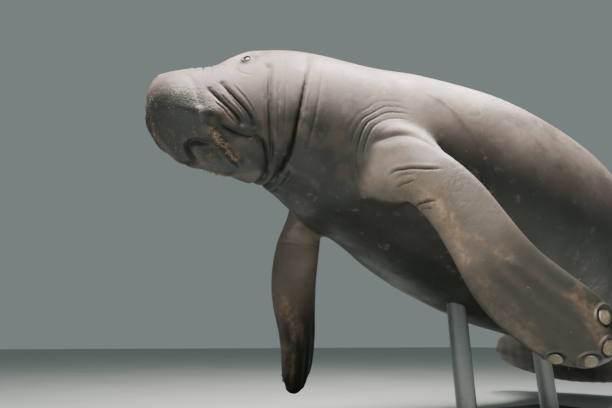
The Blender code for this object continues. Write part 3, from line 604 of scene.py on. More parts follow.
# Sharp folds of the head: line, half width, depth
HEAD_FOLDS = (
    (((0.163, 8), (0.177, -2), (0.191, -9), (0.203, -15), (0.215, -21), (0.226, -28), (0.233, -35)),
     0.0024, 0.0056),
    (((0.170, -1), (0.185, -11), (0.198, -18), (0.212, -25), (0.221, -33)), 0.0018, 0.0026),
    (((0.128, -1), (0.145, -8), (0.158, -12), (0.172, -17), (0.187, -24), (0.202, -33)), 0.0023, 0.0052),
    (((0.150, -4), (0.166, -10), (0.182, -16), (0.197, -23), (0.210, -31)), 0.0017, 0.0022),
    (((0.134, -13), (0.156, -19), (0.174, -26), (0.190, -34)), 0.0018, 0.0022),
    (((0.186, 6), (0.202, -3), (0.217, -12), (0.230, -20), (0.238, -30)), 0.0016, 0.0016),
    (((0.281, 22), (0.277, 12), (0.270, -11), (0.270, -25), (0.276, -41), (0.286, -57), (0.295, -75)),
     0.0038, 0.0030),
    (((0.262, 10), (0.259, -6), (0.258, -20), (0.262, -34)), 0.0024, 0.0009),
    (((0.297, 8), (0.292, -10), (0.291, -28), (0.297, -44)), 0.0024, 0.0010),
    (((0.369, 26), (0.366, 17), (0.361, 7), (0.351, -8), (0.342, -25), (0.334, -46), (0.327, -66),
      (0.324, -90)),
     0.0030, 0.0085),
    (((0.243, -39), (0.257, -45), (0.269, -53), (0.280, -64), (0.291, -80), (0.293, -90)), 0.0030, 0.0050),
    (((0.322, 34), (0.316, 14), (0.309, -12), (0.307, -34)), 0.0024, 0.0008),
    (((0.402, 30), (0.398, 10), (0.388, -14), (0.380, -34), (0.376, -56)), 0.0036, 0.0013),
    (((0.352, -62), (0.352, -76), (0.349, -90)), 0.0026, 0.0030),
    (((0.100, 34), (0.110, 52), (0.114, 72), (0.115, 90)), 0.0024, 0.0014),
    (((0.116, 22), (0.128, 42), (0.134, 66), (0.136, 90)), 0.0026, 0.0022),
    (((0.133, 12), (0.146, 32), (0.155, 54), (0.158, 74)), 0.0022, 0.0013),
    (((0.184, 56), (0.190, 72), (0.191, 90)), 0.0026, 0.0012),
    (((0.204, 27), (0.211, 21), (0.222, 16), (0.240, 13)), 0.0021, 0.0007),
    (((0.210, 51), (0.220, 56), (0.234, 59), (0.250, 57)), 0.0022, 0.0013),
)

# Folds of the flippers: station along and place across, half width, depth
FLIPPER_CREASES = {
    "left": (
        (((0.07, -0.66), (0.07, -0.42), (0.09, -0.22), (0.13, 0.07), (0.18, 0.32), (0.23, 0.62)),
     0.0026, 0.0040),
        (((0.12, -0.80), (0.14, -0.50), (0.17, -0.15)), 0.0024, 0.0024),
        (((0.10, -0.62), (0.115, -0.30), (0.15, -0.05)), 0.0022, 0.0012),
        (((0.21, -1.00), (0.24, -0.70), (0.28, -0.38), (0.30, -0.20)), 0.0026, 0.0034),
        (((0.25, -0.95), (0.27, -0.72), (0.30, -0.50)), 0.0022, 0.0016),
    ),
    "right": (
        (((0.12, -1.0), (0.11, -0.4), (0.12, 0.3), (0.16, 0.9)), 0.0028, 0.0040),
        (((0.20, -1.0), (0.19, -0.4), (0.20, 0.2)), 0.0024, 0.0024),
    ),
}

# Fold where the arm leaves the body, as offsets from the shoulder with the side counted outwards
SHOULDER_FOLD = ((-0.080, -0.020, 0.005), (-0.060, 0.008, 0.022), (-0.020, 0.052, 0.034),
                 (0.018, 0.078, 0.024), (0.044, 0.115, -0.016))

# Rust-brown growth on the flippers: start, end (station, place across), spread in metres and strength
STAINS = {
    "left": (
        ((0.23, -0.45), (0.28, 0.10), 0.016, 0.45),
        ((0.30, -0.30), (0.38, -0.38), 0.015, 0.75),
        ((0.38, -0.38), (0.54, -0.58), 0.013, 0.50),
        ((0.50, 0.02), (0.62, 0.32), 0.007, 0.40),
        ((0.62, -0.62), (0.84, -0.80), 0.014, 0.20),
        ((0.84, 0.70), (0.97, 0.16), 0.012, 0.35),
    ),
    "right": (
        ((0.50, -0.60), (0.66, -0.40), 0.022, 0.60),
        ((0.72, -0.80), (0.86, -0.70), 0.016, 0.50),
    ),
}


def fold(gap, along, side, width, depth):
    """A sharp groove that fades out at both ends, with a soft roll beside it."""
    taper = window(along, -0.02, 0.22, 0.78, 1.02)
    groove = -bell(gap, 0, width)
    roll = 0.32 * bell(gap, 3.2 * width, 1.8 * width) * (0.65 + 0.35 * side)
    # Painted shade along the groove.
    shade = taper * bell(gap, 0, 1.1 * width) * min(depth / 0.005, 1.0)
    return depth * taper * (groove + roll), shade


def head_place(points, degrees):
    """Head unrolled into a plane, in metres, wandering a little so that no fold is dead straight."""
    here = unrolled(points[:, 0], degrees)
    here[:, 0] += 0.0016 * noise(points, 0.018, 41) + 0.0006 * noise(points, 0.006, 42)
    here[:, 1] += 0.0016 * noise(points, 0.018, 43)
    return here


def rounded(route):
    """A line through the same points without corners."""
    ends = np.concatenate([[2 * route[0] - route[1]], route, [2 * route[-1] - route[-2]]])
    line = []
    for a, b, c, d in zip(ends, ends[1:], ends[2:], ends[3:]):
        for t in (0.0, 0.33, 0.67):
            line.append(b + 0.5 * t * (c - a + t * (2 * a - 5 * b + 4 * c - d + t * (3 * (b - c) + d - a))))
    return np.array(line + [route[-1]])


def head_route(line):
    return rounded(unrolled(*np.array(line, float).T))


def mouth_relief(points, here):
    """The parted lips, the gap inside the bristly lip and the tuck at the mouth's corner."""
    move = np.zeros(len(points))
    dark = np.zeros(len(points))
    for line, width, depth, shade in LIP_LINES:
        gap, along, _ = line_place(here, head_route(line))
        taper = window(along, -0.05, 0.30, 0.72, 1.05)
        narrow = width * (0.55 + 0.45 * taper)
        move -= depth * taper * bell(gap, 0, narrow)
        move += 0.0016 * taper * bell(gap, 2.4 * width, 1.2 * width)
        # Painted shade: darkening along the lines of the lips, darkest in the opening of the mouth.
        dark = np.maximum(dark, shade * taper * bell(gap, 0, 1.3 * narrow))
    return move, dark


def lip_ridge(points, here):
    """Bristly ridge on the side of the lower lip: its bumps, and its light brown colour, partly the bristly
    lip's own and partly painted light, lighter on the tops of the lumps.
    """
    gap, along, _ = line_place(here, head_route(LIP_RIDGE))
    taper = window(along, -0.02, 0.15, 0.85, 1.02)
    lumps, _ = scatter(points, 0.0085, 51)
    ridge = taper * bell(gap * (1 + 0.35 * noise(points, 0.014, 52)), 0, 0.0095)
    tips = 0.40 + 0.60 * smooth(0.62, 0.34, lumps)
    return ridge * (0.0024 + 0.0064 * (0.50 - lumps)), ridge * tips


def eye_lids(points, place, normal, back, upper):
    """The slit between the lids, their rims and the ring of wrinkles that closes over the eye."""
    offset = points - place
    height = offset @ normal
    u = offset @ back
    v = offset @ upper
    near = (np.abs(height) < 0.05) & (np.hypot(u, v) < 0.06)
    v = v - 0.10 * u
    reach = np.hypot(u / 1.32, v / np.where(v > 0, 0.92, 0.80))
    true_reach = np.hypot(u, v)
    turn = np.arctan2(v, u)
    opening = -0.0125 * (1 - smooth(0.0050, 0.0074, reach))
    rim = 0.0030 * bell(reach, 0.0088, 0.0020)
    upper_lid = 0.0016 * bell(reach, 0.0105, 0.0045) * smooth(-0.2, 0.8, np.sin(turn))
    rings = np.cos((reach - 0.0088) / 0.0044 * 2 * math.pi + 0.8 * np.sin(turn * 3 + 1))
    rings = 0.0009 * rings * smooth(0.0105, 0.0125, reach) * (1 - smooth(0.020, 0.034, true_reach))
    spokes = 0.0005 * np.cos(turn * 19 + 2 * np.sin(turn * 2)) * smooth(0.009, 0.013, reach)
    spokes *= 1 - smooth(0.016, 0.030, true_reach)
    socket = -0.0030 * bell(true_reach, 0.019, 0.007)
    # Painted shade: the slit between the lids is darkened, and a ring round the eye.
    dark = (1 - smooth(0.0060, 0.0084, reach)) + 0.62 * bell(reach, 0.0125, 0.0085)
    return np.where(near, opening + rim + upper_lid + rings + spokes + socket, 0.0), np.where(near, dark, 0.0)


def nostril(points, place, normal, back, upper):
    """Crescent slit of one closed nostril and the valve that fills it."""
    offset = points - place
    u = -(offset @ back)
    v = offset @ upper
    near = np.abs(offset @ normal) < 0.03
    reach = np.hypot(u, v)
    turn = np.abs(np.degrees(np.arctan2(v, u)))
    slit = bell(reach, NOSTRIL_RADIUS, 0.0020) * (1 - smooth(80, 118, turn))
    valve = bell(reach, 0, 0.0085)
    rim = bell(reach, 0.0165, 0.0035) * (1 - smooth(90, 150, turn))
    # The slit is darkened too: painted shade.
    return np.where(near, -0.0068 * slit + 0.0020 * valve + 0.0014 * rim, 0.0), np.where(near, slit, 0.0)


def pad_bumps(points, degrees):
    """Rounded bumps with bristle pits between them on the lip pads and the chin."""
    x = points[:, 0]
    where = (1 - smooth(0.150, 0.185, x)) * (1 - smooth(4, 20, degrees + 60 * (x - 0.06)))
    where = np.maximum(where, 0.7 * near_line(points, degrees, ((0.215, -52), (0.250, -62)), 0.040))
    first, second = scatter(points, PIT_SPACING, 31)
    pit = bell(first, 0, 0.26)
    seams = bell(second - first, 0, 0.22)
    return where * (-0.0010 * pit - 0.0006 * seams + 0.0004), where * pit


def relief_head(points, degrees):
    """Moves, painted shade in folds and slits, the lip ridge's light brown with painted light, and pits of
    the head.
    """
    here = head_place(points, degrees)
    move = head_forms(points)
    dark = np.zeros(len(points))
    for line, width, depth in HEAD_FOLDS:
        step, shade = fold(*line_place(here, head_route(line)), width, depth)
        move += step
        dark = np.maximum(dark, shade)
    step, shade = mouth_relief(points, here)
    move += step
    dark = np.maximum(dark, shade)
    step, stain_and_ridge_light = lip_ridge(points, here)
    move += step
    bumps, pits = pad_bumps(points, degrees)
    move += bumps
    for opening, x, angle in ((eye_lids, EYE_X, EYE_ANGLE), (nostril, NOSTRIL_X, NOSTRIL_ANGLE)):
        for side in (1, -1):
            step, shade = opening(points, *[mirrored(v, side) for v in outward(x, angle)])
            move += step
            dark = np.maximum(dark, shade)
    return move, dark, stain_and_ridge_light, pits


# The limbs and the trunk


def limb_place(points, flipper):
    """Station along a flipper from 0 to 1, and distances across it, towards the palm and from its axis."""
    frames = [flipper_frame(flipper, t) for t in np.linspace(0, 1, 21)]
    best = np.full(len(points), FAR)
    station = np.zeros(len(points))
    across = np.zeros(len(points))
    palm_way = np.zeros(len(points))
    for k in range(20):
        start, _, chord, palm = frames[k]
        run = frames[k + 1][0] - start
        t = np.clip(((points - start) @ run) / run.dot(run), 0, 1)
        off = points - start - t[:, None] * run
        gap = np.linalg.norm(off, axis=1)
        closer = gap < best
        best = np.where(closer, gap, best)
        station = np.where(closer, (k + t) / 20, station)
        across = np.where(closer, off @ chord, across)
        palm_way = np.where(closer, off @ palm, palm_way)
    return station, across, palm_way, best


def body_reach(points):
    """Distance from the axis in parts of the body's own section: over 1 on a flipper."""
    width, top, bottom, square = section(points[:, 0])
    height = np.where(points[:, 2] > 0, top, bottom)
    c = np.abs(points[:, 1]) / width
    s = np.abs(points[:, 2]) / height
    return (c ** square + s ** square) ** (1 / square)


def nail_frame(flipper, station, across):
    """Middle of a nail, and its forward, sideways and outward directions."""
    centre, along, chord, palm = flipper_frame(flipper, station)
    half_chord, half_thick = flipper_halves(flipper, station)
    rise = math.sqrt(1 - across * across)
    place = centre + chord * half_chord * across - palm * half_thick * rise
    outwards = unit(chord * across * 0.7 - palm * 0.8)
    forward = unit(along + chord * across * 0.9)
    forward = unit(forward - outwards * forward.dot(outwards))
    return place, forward, np.cross(outwards, forward), outwards


def nail_sockets(points, flipper):
    """Roll of skin that grips the root of each nail."""
    move = np.zeros(len(points))
    dark = np.zeros(len(points))
    for station, across in NAIL_PLACES:
        place, forward, sideways, outwards = nail_frame(flipper, station, across)
        off = points - place
        u = (off @ forward) / NAIL_LENGTH
        v = (off @ sideways) / NAIL_WIDTH
        near = np.abs(off @ outwards) < 0.02
        reach = np.hypot(u, v)
        behind = 1 - smooth(0.10, 0.60, u)
        roll = 0.0026 * bell(reach, 0.66, 0.14) * behind
        groove = bell(reach, 0.50, 0.06) * behind
        move += np.where(near, roll - 0.0010 * groove, 0.0)
        # Painted shade in the groove round the root.
        dark = np.maximum(dark, np.where(near, groove, 0.0))
    return move, dark


def stains(points, here, patches):
    """Patches of rust-brown growth on one flipper."""
    total = np.zeros(len(points))
    ragged = 1 + 0.5 * noise(points, 0.020, 71) + 0.35 * noise(points, 0.007, 72)
    for start, end, spread, strength in patches:
        route = np.array([start, end]) * (FLIPPER_LENGTH, HALF_HAND)
        gap, _, _ = line_place(here, route)
        total = np.maximum(total, strength * bell(gap * ragged, 0, spread))
    return total


def arm_wrinkles(points, station, across, part, wander):
    """Cross wrinkles, coarse by the elbow and fine down the arm, and the finger bones under the hand."""
    patch = smooth(-0.2, 0.5, noise(points, 0.06, 7))
    move = -0.0013 * ripple((station + wander) * 34, 3) * patch * bell(station, 0.20, 0.10)
    fine = ripple((station + 0.6 * wander + 0.10 * part ** 2) * 95, 2)
    edges = smooth(0.2, 0.9, np.abs(part)) * smooth(-0.6, 0.4, noise(points, 0.05, 8))
    move -= 0.0003 * fine * edges * window(station, 0.15, 0.30, 0.60, 0.80)
    fingers = np.cos((across + 0.004) / 0.037 * 2 * math.pi)
    return move + 0.0018 * fingers * window(station, 0.50, 0.72, 0.92, 1.0)


def shoulder_relief(points, shoulder, limb, gap):
    """Arcs of slack skin in front of the shoulder, the fold that laps over the arm and the tuck under it."""
    off = points - shoulder
    ring = np.linalg.norm(off, axis=1) + 0.006 * noise(points, 0.04, 62)
    front = smooth(-0.01, 0.05, -off[:, 0]) * (1 - limb)
    patch = smooth(-0.5, 0.3, noise(points, 0.08, 63))
    move = -0.0026 * ripple(ring / 0.0185, 4) * front * bell(ring, 0.118, 0.034) * patch
    route = rounded(shoulder + np.array(SHOULDER_FOLD) * (1, np.sign(shoulder[1]), 1))
    fold_gap, along, _ = line_place(points + 0.003 * noise(points, 0.03, 64)[:, None], route)
    step, shade = fold(fold_gap, along, 1.0, 0.0095, 0.0070)
    tuck = bell(body_reach(points), 1.03, 0.035) * smooth(0.0, 0.08, off[:, 0]) * (gap < 0.2)
    # The fold and the tuck under the arm are darkened: painted shade.
    return move + step - 0.0040 * tuck, 0.35 * np.maximum(shade, tuck)


def flipper_relief(points, name):
    """Moves, painted shade in folds, limb mask, stains and distance along the arm of one flipper."""
    flipper = FLIPPERS[name]
    station, across, palm_way, gap = limb_place(points, flipper)
    reach = body_reach(points)
    limb = smooth(1.00, 1.10, reach) * (gap < 0.17)
    part = across / np.interp(station, np.array(FLIPPER_STATIONS), flipper["half_chords"])
    down_arm = station * FLIPPER_LENGTH
    here = np.stack([down_arm + 0.0025 * noise(points, 0.02, 61), part * HALF_HAND], -1)
    shown = smooth(0.96, 1.04, reach) * np.where(palm_way < 0.01, 1.0, 0.35)
    move = np.zeros(len(points))
    dark = np.zeros(len(points))
    for line, width, depth in FLIPPER_CREASES[name]:
        route = rounded(np.array(line) * (FLIPPER_LENGTH, HALF_HAND))
        step, shade = fold(*line_place(here, route), width, depth)
        move += step * shown
        dark = np.maximum(dark, shade * shown)
    wander = 0.010 * noise(points, 0.035, 5) + 0.004 * noise(points, 0.012, 6)
    move += limb * arm_wrinkles(points, station, across, part, wander)
    step, shade = shoulder_relief(points, np.array(flipper["shoulder"]), limb, gap)
    move += step
    dark = np.maximum(dark, shade)
    step, shade = nail_sockets(points, flipper)
    stain_and_ridge_light = stains(points, here, STAINS[name]) * limb
    return move + step, np.maximum(dark, 0.18 * shade), limb, stain_and_ridge_light, down_arm + 0.6 * wander * FLIPPER_LENGTH


def trunk_relief(points):
    """Slack of the trunk, its long shallow wrinkles, the ridged stock and the paddle's scallops."""
    x = points[:, 0]
    move = 0.0034 * noise(points, 0.24, 11) + 0.0014 * noise(points, 0.09, 12)
    move *= smooth(0.36, 0.52, x)
    wave = x + 0.030 * noise(points, 0.22, 13) + 0.010 * noise(points, 0.07, 16)
    girdle = ripple(wave / 0.071, 8)
    patch = smooth(0.0, 0.7, noise(points, (0.22, 0.3, 0.3), 14))
    move -= 0.0020 * girdle * patch * window(x, 0.40, 0.55, 2.2, 2.4)
    stock = window(x, 1.80, 2.00, 2.40, 2.56)
    slack = 0.35 + 0.65 * smooth(-0.5, 0.5, noise(points, 0.16, 17))
    move -= 0.0018 * ripple(wave / 0.047, 4, 1.5 * slack) * stock * slack
    paddle = smooth(2.42, 2.62, x)
    scallops = np.cos(points[:, 1] / 0.055 * 2 * math.pi)
    move += (0.0014 * noise(points, 0.07, 15) + 0.0009 * scallops) * paddle
    return move


def fine_wrinkles(points):
    """Net of short wrinkles, mostly across the body."""
    first, second = scatter(points * (1.0, 0.45, 0.45), 0.013, 21)
    net = bell(second - first, 0, 0.14)
    return -0.00022 * net * smooth(-0.5, 0.5, noise(points, 0.12, 25))


def relief(points):
    """How far the skin moves outwards, its masks from 0 to 1, and the distance along each arm."""
    count = len(points)
    layers = {name: np.zeros(count) for name in ("painted_shade", "stain_and_ridge_light", "pit", "limb", "reach")}
    move = trunk_relief(points) + fine_wrinkles(points)
    on_head = points[:, 0] < 0.46
    head = points[on_head]
    step, dark, stain_and_ridge_light, pits = relief_head(head, round_angle(head))
    move[on_head] += step
    layers["painted_shade"][on_head] = dark
    layers["stain_and_ridge_light"][on_head] = stain_and_ridge_light
    layers["pit"][on_head] = pits
    for name, side in (("left", -1), ("right", 1)):
        near = (points[:, 0] > 0.40) & (points[:, 0] < 1.1) & (points[:, 1] * side > 0.10)
        step, dark, limb, stain_and_ridge_light, reach = flipper_relief(points[near], name)
        move[near] += step
        layers["painted_shade"][near] = np.maximum(layers["painted_shade"][near], dark)
        layers["limb"][near] = limb
        layers["stain_and_ridge_light"][near] = np.maximum(layers["stain_and_ridge_light"][near], stain_and_ridge_light)
        layers["reach"][near] = reach
    return move, layers


# Blender helpers


def link(item):
    bpy.context.scene.collection.objects.link(item)
    return item


def piece(name, mesh, look):
    """Smooth object of one material."""
    mesh.shade_smooth()
    mesh.materials.append(look)
    return link(bpy.data.objects.new(name, mesh))


def new_mesh(bm, name):
    mesh = bpy.data.meshes.new(name)
    bm.to_mesh(mesh)
    bm.free()
    return mesh


def ball_mesh(name, around, rings):
    """Ball of radius 1 round the z axis."""
    bm = bmesh.new()
    bmesh.ops.create_uvsphere(bm, u_segments=around, v_segments=rings, radius=1.0)
    return new_mesh(bm, name)


def face_outwards(mesh):
    """Turns the faces of closed shapes outwards."""
    bm = bmesh.new()
    bm.from_mesh(mesh)
    bmesh.ops.recalc_face_normals(bm, faces=bm.faces)
    bm.to_mesh(mesh)
    bm.free()


def mesh_from(verts, faces, name):
    mesh = bpy.data.meshes.new(name)
    mesh.from_pydata([tuple(v) for v in verts], [], faces)
    face_outwards(mesh)
    return mesh


def vectors(items, name):
    values = np.zeros(len(items) * 3)
    items.foreach_get(name, values)
    return values.reshape(-1, 3)


def points_of(mesh):
    return vectors(mesh.vertices, "co")


def normals_of(mesh):
    return vectors(mesh.vertex_normals, "vector")


def set_points(mesh, points):
    mesh.vertices.foreach_set("co", points.ravel())
    mesh.update()


def store(mesh, name, values):
    """Keeps a number or a vector for each point of a mesh, for its material to read."""
    kind = "FLOAT" if values.ndim == 1 else "FLOAT_VECTOR"
    layer = mesh.attributes.new(name, kind, "POINT")
    layer.data.foreach_set("value" if values.ndim == 1 else "vector", values.astype(np.float32).ravel())


def mirrored(vector, side):
    return np.asarray(vector) * (1, side, 1)


def animal_lift():
    """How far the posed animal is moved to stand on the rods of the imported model."""
    low, high = [np.array(corner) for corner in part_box("stand_rod_front")]
    foot = tip_up(bend(on_body(np.array([FRONT_ROD_X]), np.array([270.0]))))[0]
    middle = (low + high) / 2
    return np.array([middle[0] - foot[0], middle[1] - foot[1], high[2] - ROD_INSET - foot[2]])


def into_row(points, lift):
    """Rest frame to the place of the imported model."""
    return tip_up(bend(np.atleast_2d(points))) + lift


def posed_frame(place, directions, lift):
    """A point and directions at it, carried from the rest frame into the pose."""
    step = 0.002
    origin = into_row(place, lift)[0]
    return origin, [unit(into_row(place + step * np.asarray(d), lift)[0] - origin) for d in directions]


# The skin


def needs_detail(co):
    """Whether the folds are finer there than the rounded cage: on the head, shoulders and elbows."""
    return co.x < HEAD_REACH or 0.50 < co.x < 0.76 and abs(co.y) > 0.17 and -0.36 < co.z < -0.02


def refine(mesh):
    """Halves every edge of the mesh where the folds are finest."""
    bm = bmesh.new()
    bm.from_mesh(mesh)
    edges = [e for e in bm.edges if needs_detail(e.verts[0].co) and needs_detail(e.verts[1].co)]
    bmesh.ops.subdivide_edges(bm, edges=edges, cuts=1, use_grid_fill=True)
    bm.to_mesh(mesh)
    bm.free()


def make_skin(lift):
    """One seamless skin over all the flesh: its mesh, its rest places and its masks."""
    verts, faces = animal_cage()
    item = link(bpy.data.objects.new("skin_cage", mesh_from(verts, faces, "skin_cage")))
    rounding = item.modifiers.new("rounding", "SUBSURF")
    rounding.levels = SKIN_LEVEL
    rounding.render_levels = SKIN_LEVEL
    bpy.context.view_layer.update()
    graph = bpy.context.evaluated_depsgraph_get()
    mesh = bpy.data.meshes.new_from_object(item.evaluated_get(graph))
    bpy.data.objects.remove(item)
    mesh.name = "skin"
    refine(mesh)
    rest = points_of(mesh)
    normals = normals_of(mesh)
    move, layers = relief(rest)
    set_points(mesh, into_row(rest + normals * move[:, None], lift))
    store(mesh, "rest", rest)
    for name, values in layers.items():
        store(mesh, name, values)
    mesh.shade_smooth()
    skin = link(bpy.data.objects.new("skin", mesh))
    return skin, rest, layers


# Eyes, nails and bristles


def make_eye(name, side, lift, look):
    """Dark eyeball with a clear, slightly domed front."""
    place, normal, back, upper = [mirrored(v, side) for v in outward(EYE_X, EYE_ANGLE)]
    origin, (out, along, up) = posed_frame(place - normal * EYE_SINK, (normal, back, upper), lift)
    mesh = ball_mesh(name, *EYE_FACETS)
    ball = points_of(mesh)
    dome = 1 + 0.05 * smooth(0.80, 0.95, ball[:, 2])
    store(mesh, "iris", ball[:, 2].copy())
    shaped = ball * dome[:, None] * EYE_RADIUS
    set_points(mesh, origin + shaped[:, 0:1] * along + shaped[:, 1:2] * up + shaped[:, 2:3] * out)
    face_outwards(mesh)
    eye = piece(name + "_ball", mesh, look)
    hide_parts(name)
    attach(eye, "root")


def make_nail(name, flipper, station, across, lift, look):
    """Blunt nail: a flattened shell with a thick free edge and fine ridges along it."""
    place, forward, sideways, outwards = nail_frame(flipper, station, across)
    mesh = ball_mesh(name, *NAIL_FACETS)
    ball = points_of(mesh)
    local = np.stack([ball[:, 2], ball[:, 1], ball[:, 0]], -1)
    local[:, 0] = np.sign(local[:, 0]) * np.abs(local[:, 0]) ** 0.85
    ridges = 1 + 0.035 * np.cos(local[:, 1] * 22) * (local[:, 2] > 0)
    thick = (0.80 + 0.35 * smooth(-0.4, 0.9, local[:, 0])) * ridges
    spread = local * (NAIL_LENGTH / 2, NAIL_WIDTH / 2, NAIL_THICKNESS / 2)
    spread[:, 2] *= thick
    rest = place + spread[:, 0:1] * forward + spread[:, 1:2] * sideways + spread[:, 2:3] * outwards
    store(mesh, "nail", local)
    set_points(mesh, into_row(rest, lift))
    face_outwards(mesh)
    nail = piece(name + "_horn", mesh, look)
    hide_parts(name)
    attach(nail, "root")


def add_bristle(verts, faces, root, way, droop, length, radius):
    """A tapering hair with a slight bend."""
    across = unit(np.cross(way, (0.3, 0.5, 0.8)))
    other = np.cross(way, across)
    start = len(verts)
    for step, thick in ((-0.15, 1.0), (0.5, 0.75)):
        middle = root + way * length * step + droop * length * max(step, 0) ** 2
        for k in range(4):
            turn = k * math.pi / 2
            verts.append(middle + radius * thick * (across * math.cos(turn) + other * math.sin(turn)))
    verts.append(root + way * length + droop * length)
    for k in range(4):
        n = (k + 1) % 4
        faces.append((start + k, start + n, start + 4 + n, start + 4 + k))
        faces.append((start + 4 + k, start + 4 + n, start + 8))
    faces.append((start + 3, start + 2, start + 1, start))


def make_bristles(skin, rest, layers, look):
    """Short stout bristles on the lip pads and the lip, and sparse fine hairs over head and body."""
    random = np.random.default_rng(BRISTLE_SEED)
    points = points_of(skin.data)
    normals = normals_of(skin.data)
    # One number for each cell of the pits, to find the deepest point of each
    cell = np.floor(rest / PIT_SPACING).astype(np.int64) + CELL_SHIFT
    key = cell @ (10 ** 8, 10 ** 4, 1)
    order = np.lexsort((-layers["pit"], key))
    first = order[np.concatenate([[True], np.diff(key[order]) > 0])]
    pads = first[layers["pit"][first] > 0.72]
    ridge = np.flatnonzero(layers["stain_and_ridge_light"] * (rest[:, 0] < 0.3) > 0.6)
    ridge = random.choice(ridge, LIP_BRISTLES, replace=False)
    trunk = np.flatnonzero((rest[:, 0] > 0.16) & (rest[:, 0] < 2.5))
    sparse = random.choice(trunk, BODY_HAIRS, replace=False)
    verts = []
    faces = []
    down = np.array([0.0, 0.0, -1.0])
    kinds = (
        (pads, 0.0020, 0.0045, 0.00042),
        (ridge, 0.004, 0.009, 0.00045),
        (sparse, 0.005, 0.011, 0.00016),
    )
    for spots, shortest, longest, radius in kinds:
        for k in spots:
            way = unit(normals[k] + 0.22 * random.normal(size=3))
            length = random.uniform(shortest, longest)
            add_bristle(verts, faces, points[k], way, 0.25 * down, length, radius)
    bristles = piece("bristles", mesh_from(verts, faces, "bristles"), look)
    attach(bristles, "root")


# Materials

ARM_LINE_SPACING = 0.0042


def linear(colour):
    """Screen colour from 0 to 255 as opaque linear light."""
    return (*(((v / 255 + 0.055) / 1.055) ** 2.4 for v in colour), 1.0)


class Nodes:
    """Short way to build a material's node tree."""

    def __init__(self, name):
        self.material = bpy.data.materials.new(name)
        self.material.use_nodes = True
        self.tree = self.material.node_tree
        self.shader = self.tree.nodes["Principled BSDF"]

    def add(self, kind, **settings):
        node = self.tree.nodes.new(kind)
        for key, value in settings.items():
            setattr(node, key, value)
        return node

    def put(self, socket, value):
        if isinstance(value, bpy.types.NodeSocket):
            self.tree.links.new(value, socket)
        else:
            socket.default_value = value

    def attribute(self, name, output="Fac"):
        return self.add("ShaderNodeAttribute", attribute_name=name).outputs[output]

    def object_place(self):
        return self.add("ShaderNodeTexCoord").outputs["Object"]

    def parts(self, vector):
        """The x, y and z of a vector."""
        node = self.add("ShaderNodeSeparateXYZ")
        self.put(node.inputs[0], vector)
        return node.outputs

    def fill(self, node, **values):
        """Sets or links sockets of a node, with low lines for the spaces in their names."""
        for name, value in values.items():
            self.put(node.inputs[name.replace("_", " ")], value)

    def noise(self, vector, scale, detail=4.0, roughness=0.55, distortion=0.0):
        node = self.add("ShaderNodeTexNoise")
        self.fill(node, Vector=vector, Scale=scale, Detail=detail, Roughness=roughness, Distortion=distortion)
        return node.outputs["Fac"]

    def voronoi(self, vector, scale, feature="F1"):
        node = self.add("ShaderNodeTexVoronoi", feature=feature)
        self.fill(node, Vector=vector, Scale=scale)
        return node.outputs["Distance"]

    def span(self, value, low, high, to_low=0.0, to_high=1.0):
        node = self.add("ShaderNodeMapRange", interpolation_type="SMOOTHSTEP")
        self.fill(node, Value=value, From_Min=low, From_Max=high, To_Min=to_low, To_Max=to_high)
        return node.outputs["Result"]

    def math(self, operation, a, b=0.0):
        node = self.add("ShaderNodeMath", operation=operation)
        self.put(node.inputs[0], a)
        self.put(node.inputs[1], b)
        return node.outputs[0]

    def times(self, a, b):
        return self.math("MULTIPLY", a, b)

    def mix(self, factor, a, b):
        """Mixes two colours, each linked or given as a screen colour from 0 to 255."""
        node = self.add("ShaderNodeMix", data_type="RGBA")
        self.put(node.inputs["Factor"], factor)
        for socket, colour in ((node.inputs[6], a), (node.inputs[7], b)):
            self.put(socket, colour if isinstance(colour, bpy.types.NodeSocket) else linear(colour))
        return node.outputs[2]

    def scaled(self, vector, scale):
        node = self.add("ShaderNodeMapping")
        self.fill(node, Vector=vector, Scale=scale)
        return node.outputs["Vector"]

    def bump(self, height, distance, strength, normal=None):
        node = self.add("ShaderNodeBump")
        self.fill(node, Height=height, Distance=distance, Strength=strength)
        if normal is not None:
            self.fill(node, Normal=normal)
        return node.outputs["Normal"]

    def finish(self, **values):
        """Fills sockets of the shader and gives back the material."""
        self.fill(self.shader, **values)
        return self.material


def skin_colour(n, place, x, z, limb):
    """Grey-brown hide with painted shade, darker and greener below and under the chin, with mottling and pale
    streaks over the top that are partly scars and partly painted light.
    """
    broad = n.span(n.noise(place, 4.0, 5.0, 0.6), 0.36, 0.66)
    colour = n.mix(broad, (97, 86, 79), (130, 116, 107))
    head = n.span(x, 0.42, 0.26)
    colour = n.mix(n.times(head, 0.50), colour, (88, 80, 83))
    # Painted shade: the chin and the underside are darker and greener, less so on the arms.
    chin = n.times(n.span(n.math("ADD", z, n.times(x, 0.34)), 0.055, -0.020), head)
    belly = n.times(n.span(z, 0.05, -0.13), n.span(limb, 0.0, 1.0, 1.0, 0.35))
    below = n.math("MAXIMUM", belly, chin)
    colour = n.mix(below, colour, n.mix(broad, (33, 36, 33), (45, 47, 43)))
    # Pale streaks over the top: partly scars, partly painted streaks of light.
    scars_and_light_streaks = n.noise(n.scaled(place, (3.0, 9.0, 3.0)), 2.2, 4.0, 0.6, 1.6)
    scars_and_light_streaks = n.times(n.span(scars_and_light_streaks, 0.54, 0.66, 0.0, 0.45), n.span(z, -0.05, 0.12))
    colour = n.mix(scars_and_light_streaks, colour, (172, 154, 142))
    mottle = n.noise(place, 26.0, 6.0, 0.68)
    colour = n.mix(n.span(mottle, 0.50, 0.72, 0.0, 0.45), colour, (52, 46, 43))
    colour = n.mix(n.span(mottle, 0.44, 0.26, 0.0, 0.30), colour, (140, 128, 118))
    blush = n.times(n.span(n.noise(place, 13.0, 3.0, 0.5), 0.50, 0.66, 0.0, 0.22), n.span(x, 0.9, 0.1))
    return n.mix(blush, colour, (132, 108, 94))


